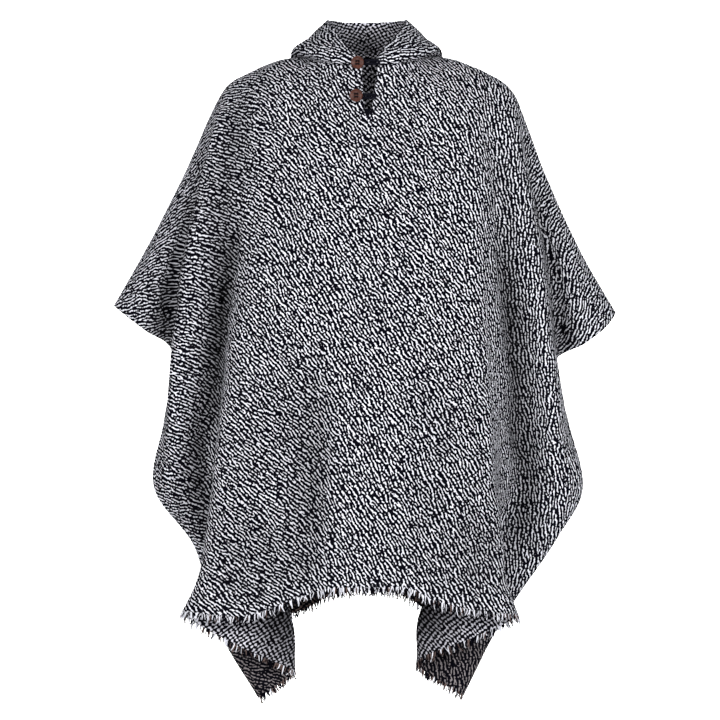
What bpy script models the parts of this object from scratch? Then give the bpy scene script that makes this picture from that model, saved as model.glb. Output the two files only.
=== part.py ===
"""Hooded poncho, filled out as worn, with no wearer inside.

Metres, +Z up. X runs across the shoulders, the front faces -Y, and the origin lies between the shoulders,
on the line of the shoulder seams. Every cloth piece is an open surface with a Solidify wall. The panels are
smooth surfaces through fold lines: each fold line runs from the shoulder seam, over the arm, down to the hem.
"""

import math

import bmesh
import bpy
import numpy as np

MM = 0.001
SHORTEST_CHORD = 1e-6      # keeps a curve's chord above zero where two of its points meet

# Cloth
WALL = 2.4 * MM            # thickness of the woven cloth
SEAM_HALF_GAP = 0.15 * MM  # each panel stops this far short of a seam's plane
SEAM_FLAT = 2.0 * MM       # strip beside a seam that lies straight across it

# Fringe
FRINGE_WALL = 2.0 * MM     # thickness of a fringe strip and its strands
FRINGE_GAP = 1.8 * MM      # from a hem down to its strip
FRINGE_STRIP = 4.0 * MM    # height of the strip that holds the strands
FRINGE_STRAND = 9.5 * MM   # length of a strand below the strip
FRINGE_TIP = 0.45          # width of a strand's tip as a share of its root
FRINGE_SHORT = 5.0 * MM    # the strip stops this far short of a side seam
STRANDS = 66               # strands along one hem

# Buttons and loops
BUTTON_RADIUS = 10.0 * MM
BUTTON_THICK = 3.6 * MM
BUTTON_RIM = 2.2 * MM      # width of the raised rim
BUTTON_DISH = 0.8 * MM     # depth of the dish inside the rim
BUTTON_SIDES = 28
LOOP_CORD = 1.5 * MM       # radius of a loop's cord
LOOP_HALF_HEIGHT = 3.2 * MM
LOOP_TURN_POINTS = 5
FASTENING_LIFT = 1.2 * MM  # a loop lies this far off the cloth, and a button off its loop
# Each row is one fastening: its name, the button's X and Z, and the loop's left end, right end and Z,
# in millimetres
FASTENINGS = (
    ("upper", -15, -12, -12, 19, -11),
    ("lower", -17, -64, -14, 13, -65),
)

# Fold lines of the front panel's left half, from the side seam to the neck slit. Each row is one fold line.
# Its columns are the places, as X, Y, Z in millimetres, of its nine stations:
# shoulder seam, arm roll, chest, cuff level, waist, hip, thigh, knee, hem
LEFT_FOLDS = (
    ("side", (-400, 0, -385), (-377, -36, -403), (-345, -42, -427), (-308, -2, -460),
     (-321, 0, -565), (-337, 0, -671), (-274, 0, -764), (-236, 0, -895), (-172, 0, -1005)),
    ("wing", (-345, 0, -288), (-335, -44, -325), (-325, -58, -385), (-309, -20, -455),
     (-318, -16, -565), (-334, -14, -672), (-270, -10, -767), (-231, -9, -893), (-168, -6, -1001)),
    ("sleeve_valley", (-292, 0, -184), (-272, -44, -206), (-300, -52, -325), (-304, -42, -448),
     (-314, -32, -565), (-326, -25, -670), (-260, -15, -773), (-218, -13, -888), (-161, -10, -996)),
    ("lobe_ridge", (-227, 0, -46), (-232, -52, -90), (-268, -74, -250), (-290, -70, -445),
     (-303, -56, -565), (-312, -42, -668), (-250, -20, -778), (-190, -15, -882), (-144, -12, -985)),
    ("valley_out", (-208, 0, -28), (-203, -58, -78), (-218, -82, -262), (-246, -58, -457),
     (-252, -36, -567), (-232, -22, -677), (-170, -17, -778), (-127, -14, -872), (-116, -12, -962)),
    ("valley_in", (-198, 0, -23), (-194, -61, -76), (-203, -84, -262), (-226, -68, -457),
     (-227, -52, -567), (-215, -44, -677), (-166, -38, -775), (-127, -33, -868), (-118, -28, -956)),
    ("under_ridge", (-188, 0, -18), (-186, -64, -74), (-190, -94, -260), (-217, -84, -457),
     (-228, -72, -567), (-228, -66, -675), (-214, -61, -770), (-200, -57, -850), (-200, -54, -917)),
    ("ridge_in", (-178, 0, -13), (-178, -67, -71), (-176, -104, -258), (-211, -101, -457),
     (-230, -95, -567), (-241, -90, -675), (-251, -88, -750), (-263, -84, -815), (-287, -80, -863)),
    ("ridge_out", (-168, 0, -8), (-168, -70, -69), (-159, -114, -256), (-197, -119, -455),
     (-220, -117, -565), (-232, -113, -672), (-242, -110, -745), (-256, -106, -808), (-279, -100, -859)),
    ("shoulder", (-140, 0, 2), (-135, -70, -52), (-128, -125, -250), (-147, -134, -455),
     (-156, -136, -560), (-165, -136, -655), (-172, -135, -735), (-180, -133, -800), (-187, -131, -859)),
    ("neck_side", (-103, -1, 6), (-102, -73, -45), (-90, -132, -250), (-96, -138, -455),
     (-101, -136, -558), (-105, -133, -645), (-108, -132, -715), (-112, -131, -777), (-116, -129, -833)),
    ("neck_front", (-64, -66, -10), (-60, -94, -70), (-50, -135, -250), (-53, -142, -455),
     (-55, -144, -556), (-56, -144, -640), (-57, -143, -705), (-58, -142, -762), (-59, -142, -812)),
    ("slit", (-9, -84, -16), (-4, -105, -89), (-8, -134, -250), (-9, -142, -455),
     (-9, -145, -556), (-9, -146, -640), (-9, -146, -700), (-9, -146, -758), (-9, -145, -810)),
)

# The right half, in the same columns
RIGHT_FOLDS = (
    ("side", (393, 0, -396), (374, -36, -420), (340, -42, -446), (297, -2, -476),
     (319, 0, -569), (341, 0, -677), (301, 0, -752), (212, 0, -885), (153, 0, -1001)),
    ("wing", (338, 0, -300), (328, -44, -335), (318, -58, -395), (300, -20, -470),
     (316, -16, -569), (338, -14, -677), (297, -10, -756), (208, -9, -884), (149, -6, -998)),
    ("sleeve_valley", (283, 0, -180), (264, -44, -205), (292, -52, -330), (298, -42, -460),
     (312, -32, -569), (328, -25, -674), (285, -15, -765), (199, -13, -880), (143, -10, -992)),
    ("lobe_ridge", (229, 0, -46), (232, -52, -90), (258, -74, -250), (277, -72, -445),
     (290, -56, -569), (305, -42, -674), (262, -20, -778), (168, -15, -874), (122, -12, -980)),
    ("valley_out", (208, 0, -27), (205, -58, -78), (220, -82, -262), (243, -60, -455),
     (252, -38, -567), (240, -22, -675), (158, -17, -778), (90, -14, -872), (82, -12, -953)),
    ("valley_in", (198, 0, -22), (196, -61, -76), (205, -84, -262), (222, -70, -455),
     (224, -54, -567), (216, -46, -675), (152, -38, -774), (90, -33, -864), (87, -28, -938)),
    ("under_ridge", (188, 0, -17), (187, -64, -74), (194, -92, -260), (204, -86, -455),
     (207, -74, -567), (205, -68, -675), (188, -63, -765), (168, -60, -840), (165, -58, -903)),
    ("ridge_in", (178, 0, -12), (179, -67, -71), (183, -102, -258), (191, -100, -455),
     (197, -96, -567), (204, -92, -675), (211, -90, -755), (216, -87, -815), (234, -84, -867)),
    ("ridge_out", (168, 0, -8), (170, -70, -69), (169, -113, -256), (178, -119, -455),
     (186, -118, -565), (194, -115, -672), (201, -112, -748), (207, -108, -808), (225, -105, -863)),
    ("shoulder", (140, 0, 3), (135, -70, -52), (127, -125, -250), (133, -134, -455),
     (138, -137, -560), (144, -138, -655), (149, -138, -735), (153, -136, -795), (160, -133, -848)),
    ("neck_side", (103, -1, 8), (102, -73, -45), (90, -132, -250), (94, -139, -455),
     (97, -141, -558), (99, -140, -645), (101, -140, -715), (103, -139, -778), (107, -137, -835)),
    ("neck_front", (64, -66, -9), (60, -94, -70), (50, -135, -250), (53, -143, -455),
     (55, -146, -556), (56, -147, -640), (57, -147, -705), (58, -147, -762), (59, -146, -813)),
    ("slit", (17, -84, -15), (7, -105, -89), (8, -134, -250), (9, -143, -455),
     (9, -146, -556), (9, -147, -640), (9, -147, -700), (9, -147, -758), (9, -146, -810)),
)

# Grid steps between neighbouring fold lines of one half, and between neighbouring stations
HALF_STEPS = (2, 3, 3, 2, 2, 1, 2, 2, 2, 1, 2, 1)
ACROSS_STEPS = HALF_STEPS + (1,) + HALF_STEPS[::-1]
DOWN_STEPS = (3, 3, 3, 2, 2, 2, 2, 2)
CUFF_STATION = 3           # the side seam starts here, below the cuff
SLIT_STATION = 1           # the neck slit ends here
NECK_LINES = 2             # fold lines of each half that start at the neck edge

# The back panel is the front panel turned round, a little flatter, and longer at its centre
BACK_DEPTH = 0.93
BACK_DROP = 44 * MM
# Share of the drop at the hem of each fold line
BACK_DROP_SHARE = {"slit": 1.0, "neck_front": 1.0, "neck_side": 0.8, "shoulder": 0.4}
# Where the back leaves the turned front, at the shoulder seam, arm roll and chest: distance from the centre,
# Y and Z in millimetres
BACK_NECK = {
    "neck_front": ((64, 54, 10), (60, 86, -58), (50, 120, -250)),
    "slit": ((14, 70, 13), (9, 93, -66), (9, 122, -250)),
}

# The hood's left half. Each row runs round the neck from the slit to the centre back. Its columns are the
# places of its six stations: neck seam, roll, belly, bottom, outer belly, rim
HOOD_SECTIONS = (
    ("front_end", (-11, -85, -12), (-13, -87, -10), (-15, -88, -8),
     (-17, -88, -5), (-18, -87, -2), (-19, -85, 1)),
    ("front_side", (-64, -67, -4), (-70, -71, -1), (-78, -72, 3),
     (-79, -70, 9), (-66, -64, 21), (-40, -56, 30)),
    ("side", (-103, 0, 11), (-107, 1, 11), (-112, 3, 11),
     (-119, 4, 16), (-88, 5, 43), (-63, 4, 65)),
    ("back_side", (-76, 46, 15), (-82, 57, 22), (-88, 90, -20),
     (-98, 132, -98), (-107, 120, 8), (-54, 66, 74)),
    ("back_mid", (-42, 66, 17), (-46, 77, 23), (-54, 106, -48),
     (-58, 150, -158), (-64, 165, -32), (-30, 90, 75)),
    ("back", (0, 73, 17), (0, 84, 24), (0, 114, -60),
     (0, 156, -178), (0, 182, -50), (0, 98, 75)),
)
HOOD_STEPS_ROUND = (3, 3, 3, 2, 2)
HOOD_STEPS_UP = (1, 2, 2, 3, 3)

# Plain finishes as colour and roughness: cloth seen from afar, fringe, button shell and loop cord
CLOTH = ((0.22, 0.22, 0.23), 0.9)
FRINGE = ((0.30, 0.30, 0.31), 0.95)
SHELL = ((0.16, 0.06, 0.03), 0.45)
CORD = ((0.015, 0.015, 0.022), 0.8)


def remove_scene_objects():
    """Start from an empty scene."""
    for item in list(bpy.data.objects):
        bpy.data.objects.remove(item, do_unlink=True)


def make_material(name, finish):
    """A plain Principled finish for one piece."""
    colour, roughness = finish
    material = bpy.data.materials.new(name)
    material.use_nodes = True
    shader = material.node_tree.nodes["Principled BSDF"]
    shader.inputs["Base Color"].default_value = (*colour, 1.0)
    shader.inputs["Roughness"].default_value = roughness
    shader.inputs["Metallic"].default_value = 0.0
    return material


def table_places(table):
    """The places in a table of named rows as an array [row, station, axis] in metres."""
    return np.array([row[1:] for row in table], dtype=float) * MM


def smooth_through(points, steps, before, after):
    """Points on smooth curves through points[i] along the first axis, with steps[i] to each stretch.

    Cubic Hermite stretches with tangents from neighbouring chords, each chord weighted by the square root of
    its length, so that uneven spacing gives no loops. before and after are the places beyond the two ends.
    """
    run = np.concatenate([before[None], points, after[None]])
    chord = np.sqrt(np.linalg.norm(np.diff(run, axis=0), axis=-1, keepdims=True)) + SHORTEST_CHORD
    slope = np.diff(run, axis=0) / chord
    tangent = (slope[:-1] * chord[1:] + slope[1:] * chord[:-1]) / (chord[:-1] + chord[1:])
    curve = []
    for i, count in enumerate(steps):
        reach = chord[i + 1]
        for s in np.arange(count) / count:
            start = (1 + 2 * s) * (1 - s) ** 2 * points[i] + s * (1 - s) ** 2 * reach * tangent[i]
            end = s * s * (3 - 2 * s) * points[i + 1] + s * s * (s - 1) * reach * tangent[i + 1]
            curve.append(start + end)
    curve.append(points[-1])
    return np.array(curve)


def across_plane(points, axis):
    """The points mirrored through the plane where one coordinate is zero."""
    mirrored = points.copy()
    mirrored[..., axis] *= -1
    return mirrored


def beyond(end, inner):
    """The place one step past an open edge."""
    return 2 * end - inner


def unit(vectors):
    """The vectors at length one."""
    return vectors / np.linalg.norm(vectors, axis=-1, keepdims=True)


def panel_surface(stations):
    """Grid of panel points [step down, step across, axis] from the stations of its fold lines.

    The shoulder and side seams are crossed squarely, since the other panel goes on there. The neck edge, the
    cuffs and the hem end freely.
    """
    above = across_plane(stations[:, 1], 1)
    middle = len(stations) // 2
    neck = slice(middle - NECK_LINES, middle + NECK_LINES)
    above[neck] = beyond(stations[neck, 0], stations[neck, 1])
    below = beyond(stations[:, -1], stations[:, -2])
    columns = np.swapaxes(smooth_through(np.swapaxes(stations, 0, 1), DOWN_STEPS, above, below), 0, 1)
    cuff_rows = sum(DOWN_STEPS[:CUFF_STATION])
    outside = []
    for edge, inner in ((columns[0], columns[1]), (columns[-1], columns[-2])):
        side = across_plane(inner, 1)
        side[:cuff_rows] = beyond(edge, inner)[:cuff_rows]
        outside.append(side)
    return np.swapaxes(smooth_through(columns, ACROSS_STEPS, outside[0], outside[1]), 0, 1)


def add_seam_strips(grid, outward):
    """The grid with a narrow strip beside each seam that lies straight across the seam's plane."""
    step = np.array([0.0, outward * SEAM_FLAT, 0.0])
    top = grid[0] + step
    neck_first = sum(HALF_STEPS[:-NECK_LINES]) + 1
    neck = slice(neck_first, grid.shape[1] - neck_first)
    top[neck] = grid[0, neck] + SEAM_FLAT * unit(grid[1, neck] - grid[0, neck])
    grid = np.concatenate([grid[:1], top[None], grid[1:]])
    cuff_rows = sum(DOWN_STEPS[:CUFF_STATION]) + 1
    strips = []
    for edge, inner in ((grid[:, 0], grid[:, 1]), (grid[:, -1], grid[:, -2])):
        strip = edge + step
        strip[:cuff_rows] = (edge + SEAM_FLAT * unit(inner - edge))[:cuff_rows]
        strips.append(strip[:, None])
    return np.concatenate([grid[:, :1], strips[0], grid[:, 1:-1], strips[1], grid[:, -1:]], axis=1)


def grid_faces(rows, columns, flipped, left_out=()):
    """Quads of a grid of rows by columns, without those whose (row, column) is left out."""
    faces = []
    for row in range(rows - 1):
        for column in range(columns - 1):
            if (row, column) not in left_out:
                corner = row * columns + column
                quad = (corner, corner + columns, corner + columns + 1, corner + 1)
                faces.append(quad[::-1] if flipped else quad)
    return faces


def add_cloth(name, points, faces, material, wall, collection):
    """An open cloth surface with a wall laid inwards from its face side."""
    mesh = bpy.data.meshes.new(name)
    mesh.from_pydata(points.reshape(-1, 3).tolist(), [], faces)
    surface = bmesh.new()
    surface.from_mesh(mesh)
    loose = [vertex for vertex in surface.verts if not vertex.link_faces]
    bmesh.ops.delete(surface, geom=loose, context="VERTS")
    surface.to_mesh(mesh)
    surface.free()
    mesh.materials.append(material)
    mesh.shade_smooth()
    cloth = bpy.data.objects.new(name, mesh)
    solidify = cloth.modifiers.new("wall", "SOLIDIFY")
    solidify.thickness = wall
    solidify.offset = -1.0
    collection.objects.link(cloth)


def front_stations():
    """Fold lines of the whole front panel, from the left side seam to the right one."""
    return np.concatenate([table_places(LEFT_FOLDS), table_places(RIGHT_FOLDS)[::-1]])


def back_half(folds, side):
    """Fold lines of one half of the back: the front's turned round, with its own neck and longer hem."""
    stations = across_plane(table_places(folds), 1)
    stations[..., 1] *= BACK_DEPTH
    for line, row in enumerate(folds):
        for station, (out, depth, height) in enumerate(BACK_NECK.get(row[0], ())):
            stations[line, station] = np.array([side * out, depth, height]) * MM
        stations[line, -1, 2] -= BACK_DROP_SHARE.get(row[0], 0.0) * BACK_DROP
    return stations


def back_stations():
    """Fold lines of the whole back panel, from the left side seam to the right one."""
    return np.concatenate([back_half(LEFT_FOLDS, -1), back_half(RIGHT_FOLDS, 1)[::-1]])


def make_panel(name, stations, outward, has_slit, material, collection):
    """One panel from its fold lines. Returns its grid, whose last row is the hem."""
    grid = panel_surface(stations)
    grid[..., 1] = outward * (np.maximum(outward * grid[..., 1], 0.0) + SEAM_HALF_GAP)
    grid = add_seam_strips(grid, outward)
    rows, columns = grid.shape[:2]
    slit_rows = sum(DOWN_STEPS[:SLIT_STATION]) + 1
    slit = [(row, columns // 2 - 1) for row in range(slit_rows)] if has_slit else ()
    add_cloth(name, grid, grid_faces(rows, columns, outward > 0, slit), material, WALL, collection)
    return grid


def make_fringe(name, hem, outward, material, collection):
    """A comb of strands under a hem: a narrow strip, with every other stretch drawn down into a strand."""
    along = np.concatenate([[0.0], np.cumsum(np.linalg.norm(np.diff(hem, axis=0), axis=1))])
    stops = np.linspace(FRINGE_SHORT, along[-1] - FRINGE_SHORT, 2 * STRANDS + 2)
    line = np.stack([np.interp(stops, along, hem[:, axis]) for axis in range(3)], axis=1)
    line[:, 1] += outward * (FRINGE_WALL - WALL) / 2
    line[:, 2] -= FRINGE_GAP
    count = len(line)
    roots = line - (0.0, 0.0, FRINGE_STRIP)
    faces = [(k, k + count, k + count + 1, k + 1) for k in range(count - 1)]
    tips = []
    for k in range(1, count - 2, 2):
        inset = (1 - FRINGE_TIP) / 2 * (roots[k + 1] - roots[k])
        first = 2 * count + len(tips)
        tips.append(roots[k] + inset - (0.0, 0.0, FRINGE_STRAND))
        tips.append(roots[k + 1] - inset - (0.0, 0.0, FRINGE_STRAND))
        faces.append((k + count, first, first + 1, k + count + 1))
    if outward > 0:
        faces = [face[::-1] for face in faces]
    add_cloth(name, np.concatenate([line, roots, tips]), faces, material, FRINGE_WALL, collection)


def make_hood_half(name, side, material, collection):
    """One half of the hood: sections round the neck, open at the rim, the neck seam and the front end."""
    sections = table_places(HOOD_SECTIONS)
    below = beyond(sections[:, 0], sections[:, 1])
    above = beyond(sections[:, -1], sections[:, -2])
    columns = np.swapaxes(smooth_through(np.swapaxes(sections, 0, 1), HOOD_STEPS_UP, below, above), 0, 1)
    start = beyond(columns[0], columns[1])
    grid = smooth_through(columns, HOOD_STEPS_ROUND, start, across_plane(columns[-2], 0))
    strip = grid[-1] - (SEAM_FLAT, 0.0, 0.0)
    grid = np.concatenate([grid[:-1], strip[None], grid[-1:]])
    grid[..., 0] = -side * (grid[..., 0] - SEAM_HALF_GAP)
    add_cloth(name, grid, grid_faces(*grid.shape[:2], side < 0), material, WALL, collection)
    return grid


def cloth_front(panel, hoods, z):
    """Y of the foremost cloth behind a loop at height z: the panel beside its slit or the hood's front end."""
    edge = panel[::-1, panel.shape[1] // 2]
    lowest = z - LOOP_HALF_HEIGHT - LOOP_CORD
    places = [np.interp(lowest, edge[:, 2], edge[:, 1])]
    for hood in hoods:
        end = hood[np.abs(hood[..., 2] - z) < BUTTON_RADIUS]
        near = end[np.abs(end[:, 0]) < 2 * BUTTON_RADIUS]
        places.extend(near[:, 1])
    return min(places)


def make_button(name, place, material, collection):
    """A turned disc with a raised rim, its face towards the front."""
    half = BUTTON_THICK / 2
    dish = half - BUTTON_DISH
    crest = BUTTON_RADIUS - BUTTON_RIM / 2
    profile = ((0.0, dish), (BUTTON_RADIUS - BUTTON_RIM, dish), (crest, half), (BUTTON_RADIUS, half / 2),
               (BUTTON_RADIUS, -half / 2), (crest, -half), (0.0, -half))
    mesh = bpy.data.meshes.new(name)
    edges = [(k, k + 1) for k in range(len(profile) - 1)]
    mesh.from_pydata([(radius, 0.0, height) for radius, height in profile], edges, [])
    mesh.materials.append(material)
    button = bpy.data.objects.new(name, mesh)
    turn = button.modifiers.new("turn", "SCREW")
    turn.steps = BUTTON_SIDES
    turn.render_steps = BUTTON_SIDES
    turn.use_merge_vertices = True
    turn.merge_threshold = 0.01 * MM
    button.rotation_euler = (math.pi / 2, 0.0, 0.0)
    button.location = place
    collection.objects.link(button)


def make_loop(name, left, right, y, z, material, collection):
    """A closed loop of cord: two straight runs with round ends."""
    route = []
    for centre, start in ((left + LOOP_HALF_HEIGHT, 0.5), (right - LOOP_HALF_HEIGHT, 1.5)):
        for angle in np.pi * (start + np.linspace(0.0, 1.0, LOOP_TURN_POINTS)):
            across = centre + LOOP_HALF_HEIGHT * math.cos(angle)
            route.append((across, y, z + LOOP_HALF_HEIGHT * math.sin(angle)))
    curve = bpy.data.curves.new(name, "CURVE")
    curve.dimensions = "3D"
    curve.bevel_depth = LOOP_CORD
    curve.bevel_resolution = 2
    spline = curve.splines.new("POLY")
    spline.points.add(len(route) - 1)
    for point, place in zip(spline.points, route):
        point.co = (*place, 1.0)
    spline.use_cyclic_u = True
    curve.materials.append(material)
    collection.objects.link(bpy.data.objects.new(name, curve))


def make_fastenings(panel, hoods, collection):
    """The buttons on the slit's left edge, each with the loop that holds it from the right edge."""
    for name, *sizes in FASTENINGS:
        button_x, button_z, left, right, loop_z = (size * MM for size in sizes)
        loop_y = cloth_front(panel, hoods, loop_z) - FASTENING_LIFT - LOOP_CORD
        button_y = loop_y - LOOP_CORD - FASTENING_LIFT - BUTTON_THICK / 2
        cord = make_material("loop_" + name + "_cord", CORD)
        make_loop("loop_" + name, left, right, loop_y, loop_z, cord, collection)
        shell = make_material("button_" + name + "_shell", SHELL)
        make_button("button_" + name, (button_x, button_y, button_z), shell, collection)


def build():
    """Make every piece of the poncho."""
    remove_scene_objects()
    parts = bpy.data.collections.new("poncho")
    bpy.context.scene.collection.children.link(parts)

    front = make_panel("front_panel", front_stations(), -1, True, make_material("front_cloth", CLOTH), parts)
    back = make_panel("back_panel", back_stations(), 1, False, make_material("back_cloth", CLOTH), parts)
    hood_left = make_hood_half("hood_left", -1, make_material("hood_left_cloth", CLOTH), parts)
    hood_right = make_hood_half("hood_right", 1, make_material("hood_right_cloth", CLOTH), parts)
    make_fringe("front_fringe", front[-1], -1, make_material("front_fringe_yarn", FRINGE), parts)
    make_fringe("back_fringe", back[-1], 1, make_material("back_fringe_yarn", FRINGE), parts)
    make_fastenings(front, (hood_left, hood_right), parts)


build()
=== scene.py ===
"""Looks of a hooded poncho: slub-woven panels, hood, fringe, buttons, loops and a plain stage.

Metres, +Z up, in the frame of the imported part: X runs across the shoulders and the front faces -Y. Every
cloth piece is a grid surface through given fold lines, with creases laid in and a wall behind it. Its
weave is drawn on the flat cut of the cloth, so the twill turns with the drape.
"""

import functools
import math

import bmesh
import bpy
import numpy as np
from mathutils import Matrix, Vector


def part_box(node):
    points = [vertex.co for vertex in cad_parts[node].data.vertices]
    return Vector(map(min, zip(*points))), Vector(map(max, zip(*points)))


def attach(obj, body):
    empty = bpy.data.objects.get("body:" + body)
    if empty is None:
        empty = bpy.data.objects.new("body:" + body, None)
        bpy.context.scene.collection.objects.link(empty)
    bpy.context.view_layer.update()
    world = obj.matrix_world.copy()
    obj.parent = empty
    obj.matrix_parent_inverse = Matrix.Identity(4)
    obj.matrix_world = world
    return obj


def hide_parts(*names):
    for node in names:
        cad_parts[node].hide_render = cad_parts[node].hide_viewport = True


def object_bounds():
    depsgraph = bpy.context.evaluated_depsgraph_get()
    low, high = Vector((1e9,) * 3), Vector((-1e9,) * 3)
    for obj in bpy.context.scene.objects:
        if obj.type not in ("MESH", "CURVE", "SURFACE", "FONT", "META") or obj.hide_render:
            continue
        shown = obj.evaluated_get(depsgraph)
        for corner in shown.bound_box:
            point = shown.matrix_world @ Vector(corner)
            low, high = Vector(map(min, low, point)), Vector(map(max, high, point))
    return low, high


bl_info = {
    "name": "Hooded Poncho",
    "version": (1, 0, 0),
    "blender": (4, 5, 0),
    "location": "View3D > Sidebar > Poncho",
    "description": "Dresses the frame of a hooded poncho with woven cloth, fringe, buttons and loops",
    "category": "Object",
}

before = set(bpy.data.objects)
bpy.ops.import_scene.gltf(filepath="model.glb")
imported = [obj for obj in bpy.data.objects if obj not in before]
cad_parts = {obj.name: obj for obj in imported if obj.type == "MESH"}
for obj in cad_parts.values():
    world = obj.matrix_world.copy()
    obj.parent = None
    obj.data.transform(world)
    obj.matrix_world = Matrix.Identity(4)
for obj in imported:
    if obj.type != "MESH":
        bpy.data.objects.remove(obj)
CAD_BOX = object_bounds()
BODY = "root"

MM = 0.001
SHORTEST_CHORD = 1e-6
TOWARDS_FRONT, UP = (0.0, -1.0, 0.0), (0.0, 0.0, 1.0)

# Fold lines of the front panel's left half, from the side seam to the neck slit. Each row is one fold line.
# Its columns are the places, as X, Y, Z in millimetres, of its nine stations:
# shoulder seam, arm roll, chest, cuff level, waist, hip, thigh, knee, hem
LEFT_FOLDS = (
    ("side", (-400, 0, -385), (-377, -36, -403), (-345, -42, -427), (-308, -2, -460),
     (-321, 0, -565), (-337, 0, -671), (-274, 0, -764), (-236, 0, -895), (-172, 0, -1005)),
    ("wing", (-345, 0, -288), (-335, -44, -325), (-325, -58, -385), (-309, -20, -455),
     (-318, -16, -565), (-334, -14, -672), (-270, -10, -767), (-231, -9, -893), (-168, -6, -1001)),
    ("sleeve_valley", (-292, 0, -184), (-272, -44, -206), (-300, -52, -325), (-304, -42, -448),
     (-314, -32, -565), (-326, -25, -670), (-260, -15, -773), (-218, -13, -888), (-161, -10, -996)),
    ("lobe_ridge", (-227, 0, -46), (-232, -52, -90), (-268, -74, -250), (-290, -70, -445),
     (-303, -56, -565), (-312, -42, -668), (-250, -20, -778), (-190, -15, -882), (-144, -12, -985)),
    ("valley_out", (-208, 0, -28), (-203, -58, -78), (-218, -82, -262), (-246, -58, -457),
     (-252, -36, -567), (-232, -22, -677), (-170, -17, -778), (-127, -14, -872), (-116, -12, -962)),
    ("valley_in", (-198, 0, -23), (-194, -61, -76), (-203, -84, -262), (-226, -68, -457),
     (-227, -52, -567), (-215, -44, -677), (-166, -38, -775), (-127, -33, -868), (-118, -28, -956)),
    ("under_ridge", (-188, 0, -18), (-186, -64, -74), (-190, -94, -260), (-217, -84, -457),
     (-228, -72, -567), (-228, -66, -675), (-214, -61, -770), (-200, -57, -850), (-200, -54, -917)),
    ("ridge_in", (-178, 0, -13), (-178, -67, -71), (-176, -104, -258), (-211, -101, -457),
     (-230, -95, -567), (-241, -90, -675), (-251, -88, -750), (-263, -84, -815), (-287, -80, -863)),
    ("ridge_out", (-168, 0, -8), (-168, -70, -69), (-159, -114, -256), (-197, -119, -455),
     (-220, -117, -565), (-232, -113, -672), (-242, -110, -745), (-256, -106, -808), (-279, -100, -859)),
    ("shoulder", (-140, 0, 2), (-135, -70, -52), (-128, -125, -250), (-147, -134, -455),
     (-156, -136, -560), (-165, -136, -655), (-172, -135, -735), (-180, -133, -800), (-187, -131, -863)),
    ("neck_side", (-103, -1, 6), (-102, -73, -45), (-90, -132, -250), (-96, -138, -455),
     (-101, -136, -558), (-105, -133, -645), (-108, -132, -715), (-112, -131, -777), (-116, -129, -839)),
    ("neck_front", (-64, -66, -10), (-60, -94, -70), (-50, -135, -250), (-53, -142, -455),
     (-55, -144, -556), (-56, -144, -640), (-57, -143, -705), (-58, -142, -762), (-59, -142, -820)),
    ("slit", (-9, -84, -16), (-4, -105, -89), (-8, -134, -250), (-9, -142, -455),
     (-9, -145, -556), (-9, -146, -640), (-9, -146, -700), (-9, -146, -758), (-9, -145, -818)),
)

# The right half, in the same columns
RIGHT_FOLDS = (
    ("side", (393, 0, -396), (374, -36, -420), (340, -42, -446), (297, -2, -476),
     (319, 0, -569), (341, 0, -677), (301, 0, -752), (212, 0, -885), (153, 0, -1001)),
    ("wing", (338, 0, -300), (328, -44, -335), (318, -58, -395), (300, -20, -470),
     (316, -16, -569), (338, -14, -677), (297, -10, -756), (208, -9, -884), (149, -6, -998)),
    ("sleeve_valley", (283, 0, -180), (264, -44, -205), (292, -52, -330), (298, -42, -460),
     (312, -32, -569), (328, -25, -674), (285, -15, -765), (199, -13, -880), (143, -10, -992)),
    ("lobe_ridge", (229, 0, -46), (232, -52, -90), (258, -74, -250), (277, -72, -445),
     (290, -56, -569), (305, -42, -674), (262, -20, -778), (168, -15, -874), (122, -12, -980)),
    ("valley_out", (208, 0, -27), (205, -58, -78), (220, -82, -262), (243, -60, -455),
     (252, -38, -567), (240, -22, -675), (158, -17, -778), (90, -14, -872), (82, -12, -953)),
    ("valley_in", (198, 0, -22), (196, -61, -76), (205, -84, -262), (222, -70, -455),
     (224, -54, -567), (216, -46, -675), (152, -38, -774), (90, -33, -864), (87, -28, -938)),
    ("under_ridge", (188, 0, -17), (187, -64, -74), (194, -92, -260), (204, -86, -455),
     (207, -74, -567), (205, -68, -675), (188, -63, -765), (168, -60, -840), (165, -58, -903)),
    ("ridge_in", (178, 0, -12), (179, -67, -71), (183, -102, -258), (191, -100, -455),
     (197, -96, -567), (204, -92, -675), (211, -90, -755), (216, -87, -815), (234, -84, -867)),
    ("ridge_out", (168, 0, -8), (170, -70, -69), (169, -113, -256), (178, -119, -455),
     (186, -118, -565), (194, -115, -672), (201, -112, -748), (207, -108, -808), (225, -105, -863)),
    ("shoulder", (140, 0, 3), (135, -70, -52), (127, -125, -250), (133, -134, -455),
     (138, -137, -560), (144, -138, -655), (149, -138, -735), (153, -136, -795), (160, -133, -853)),
    ("neck_side", (103, -1, 8), (102, -73, -45), (90, -132, -250), (94, -139, -455),
     (97, -141, -558), (99, -140, -645), (101, -140, -715), (103, -139, -778), (107, -137, -840)),
    ("neck_front", (64, -66, -9), (60, -94, -70), (50, -135, -250), (53, -143, -455),
     (55, -146, -556), (56, -147, -640), (57, -147, -705), (58, -147, -762), (59, -146, -818)),
    ("slit", (17, -84, -15), (7, -105, -89), (8, -134, -250), (9, -143, -455),
     (9, -146, -556), (9, -147, -640), (9, -147, -700), (9, -147, -758), (9, -146, -818)),
)

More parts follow.
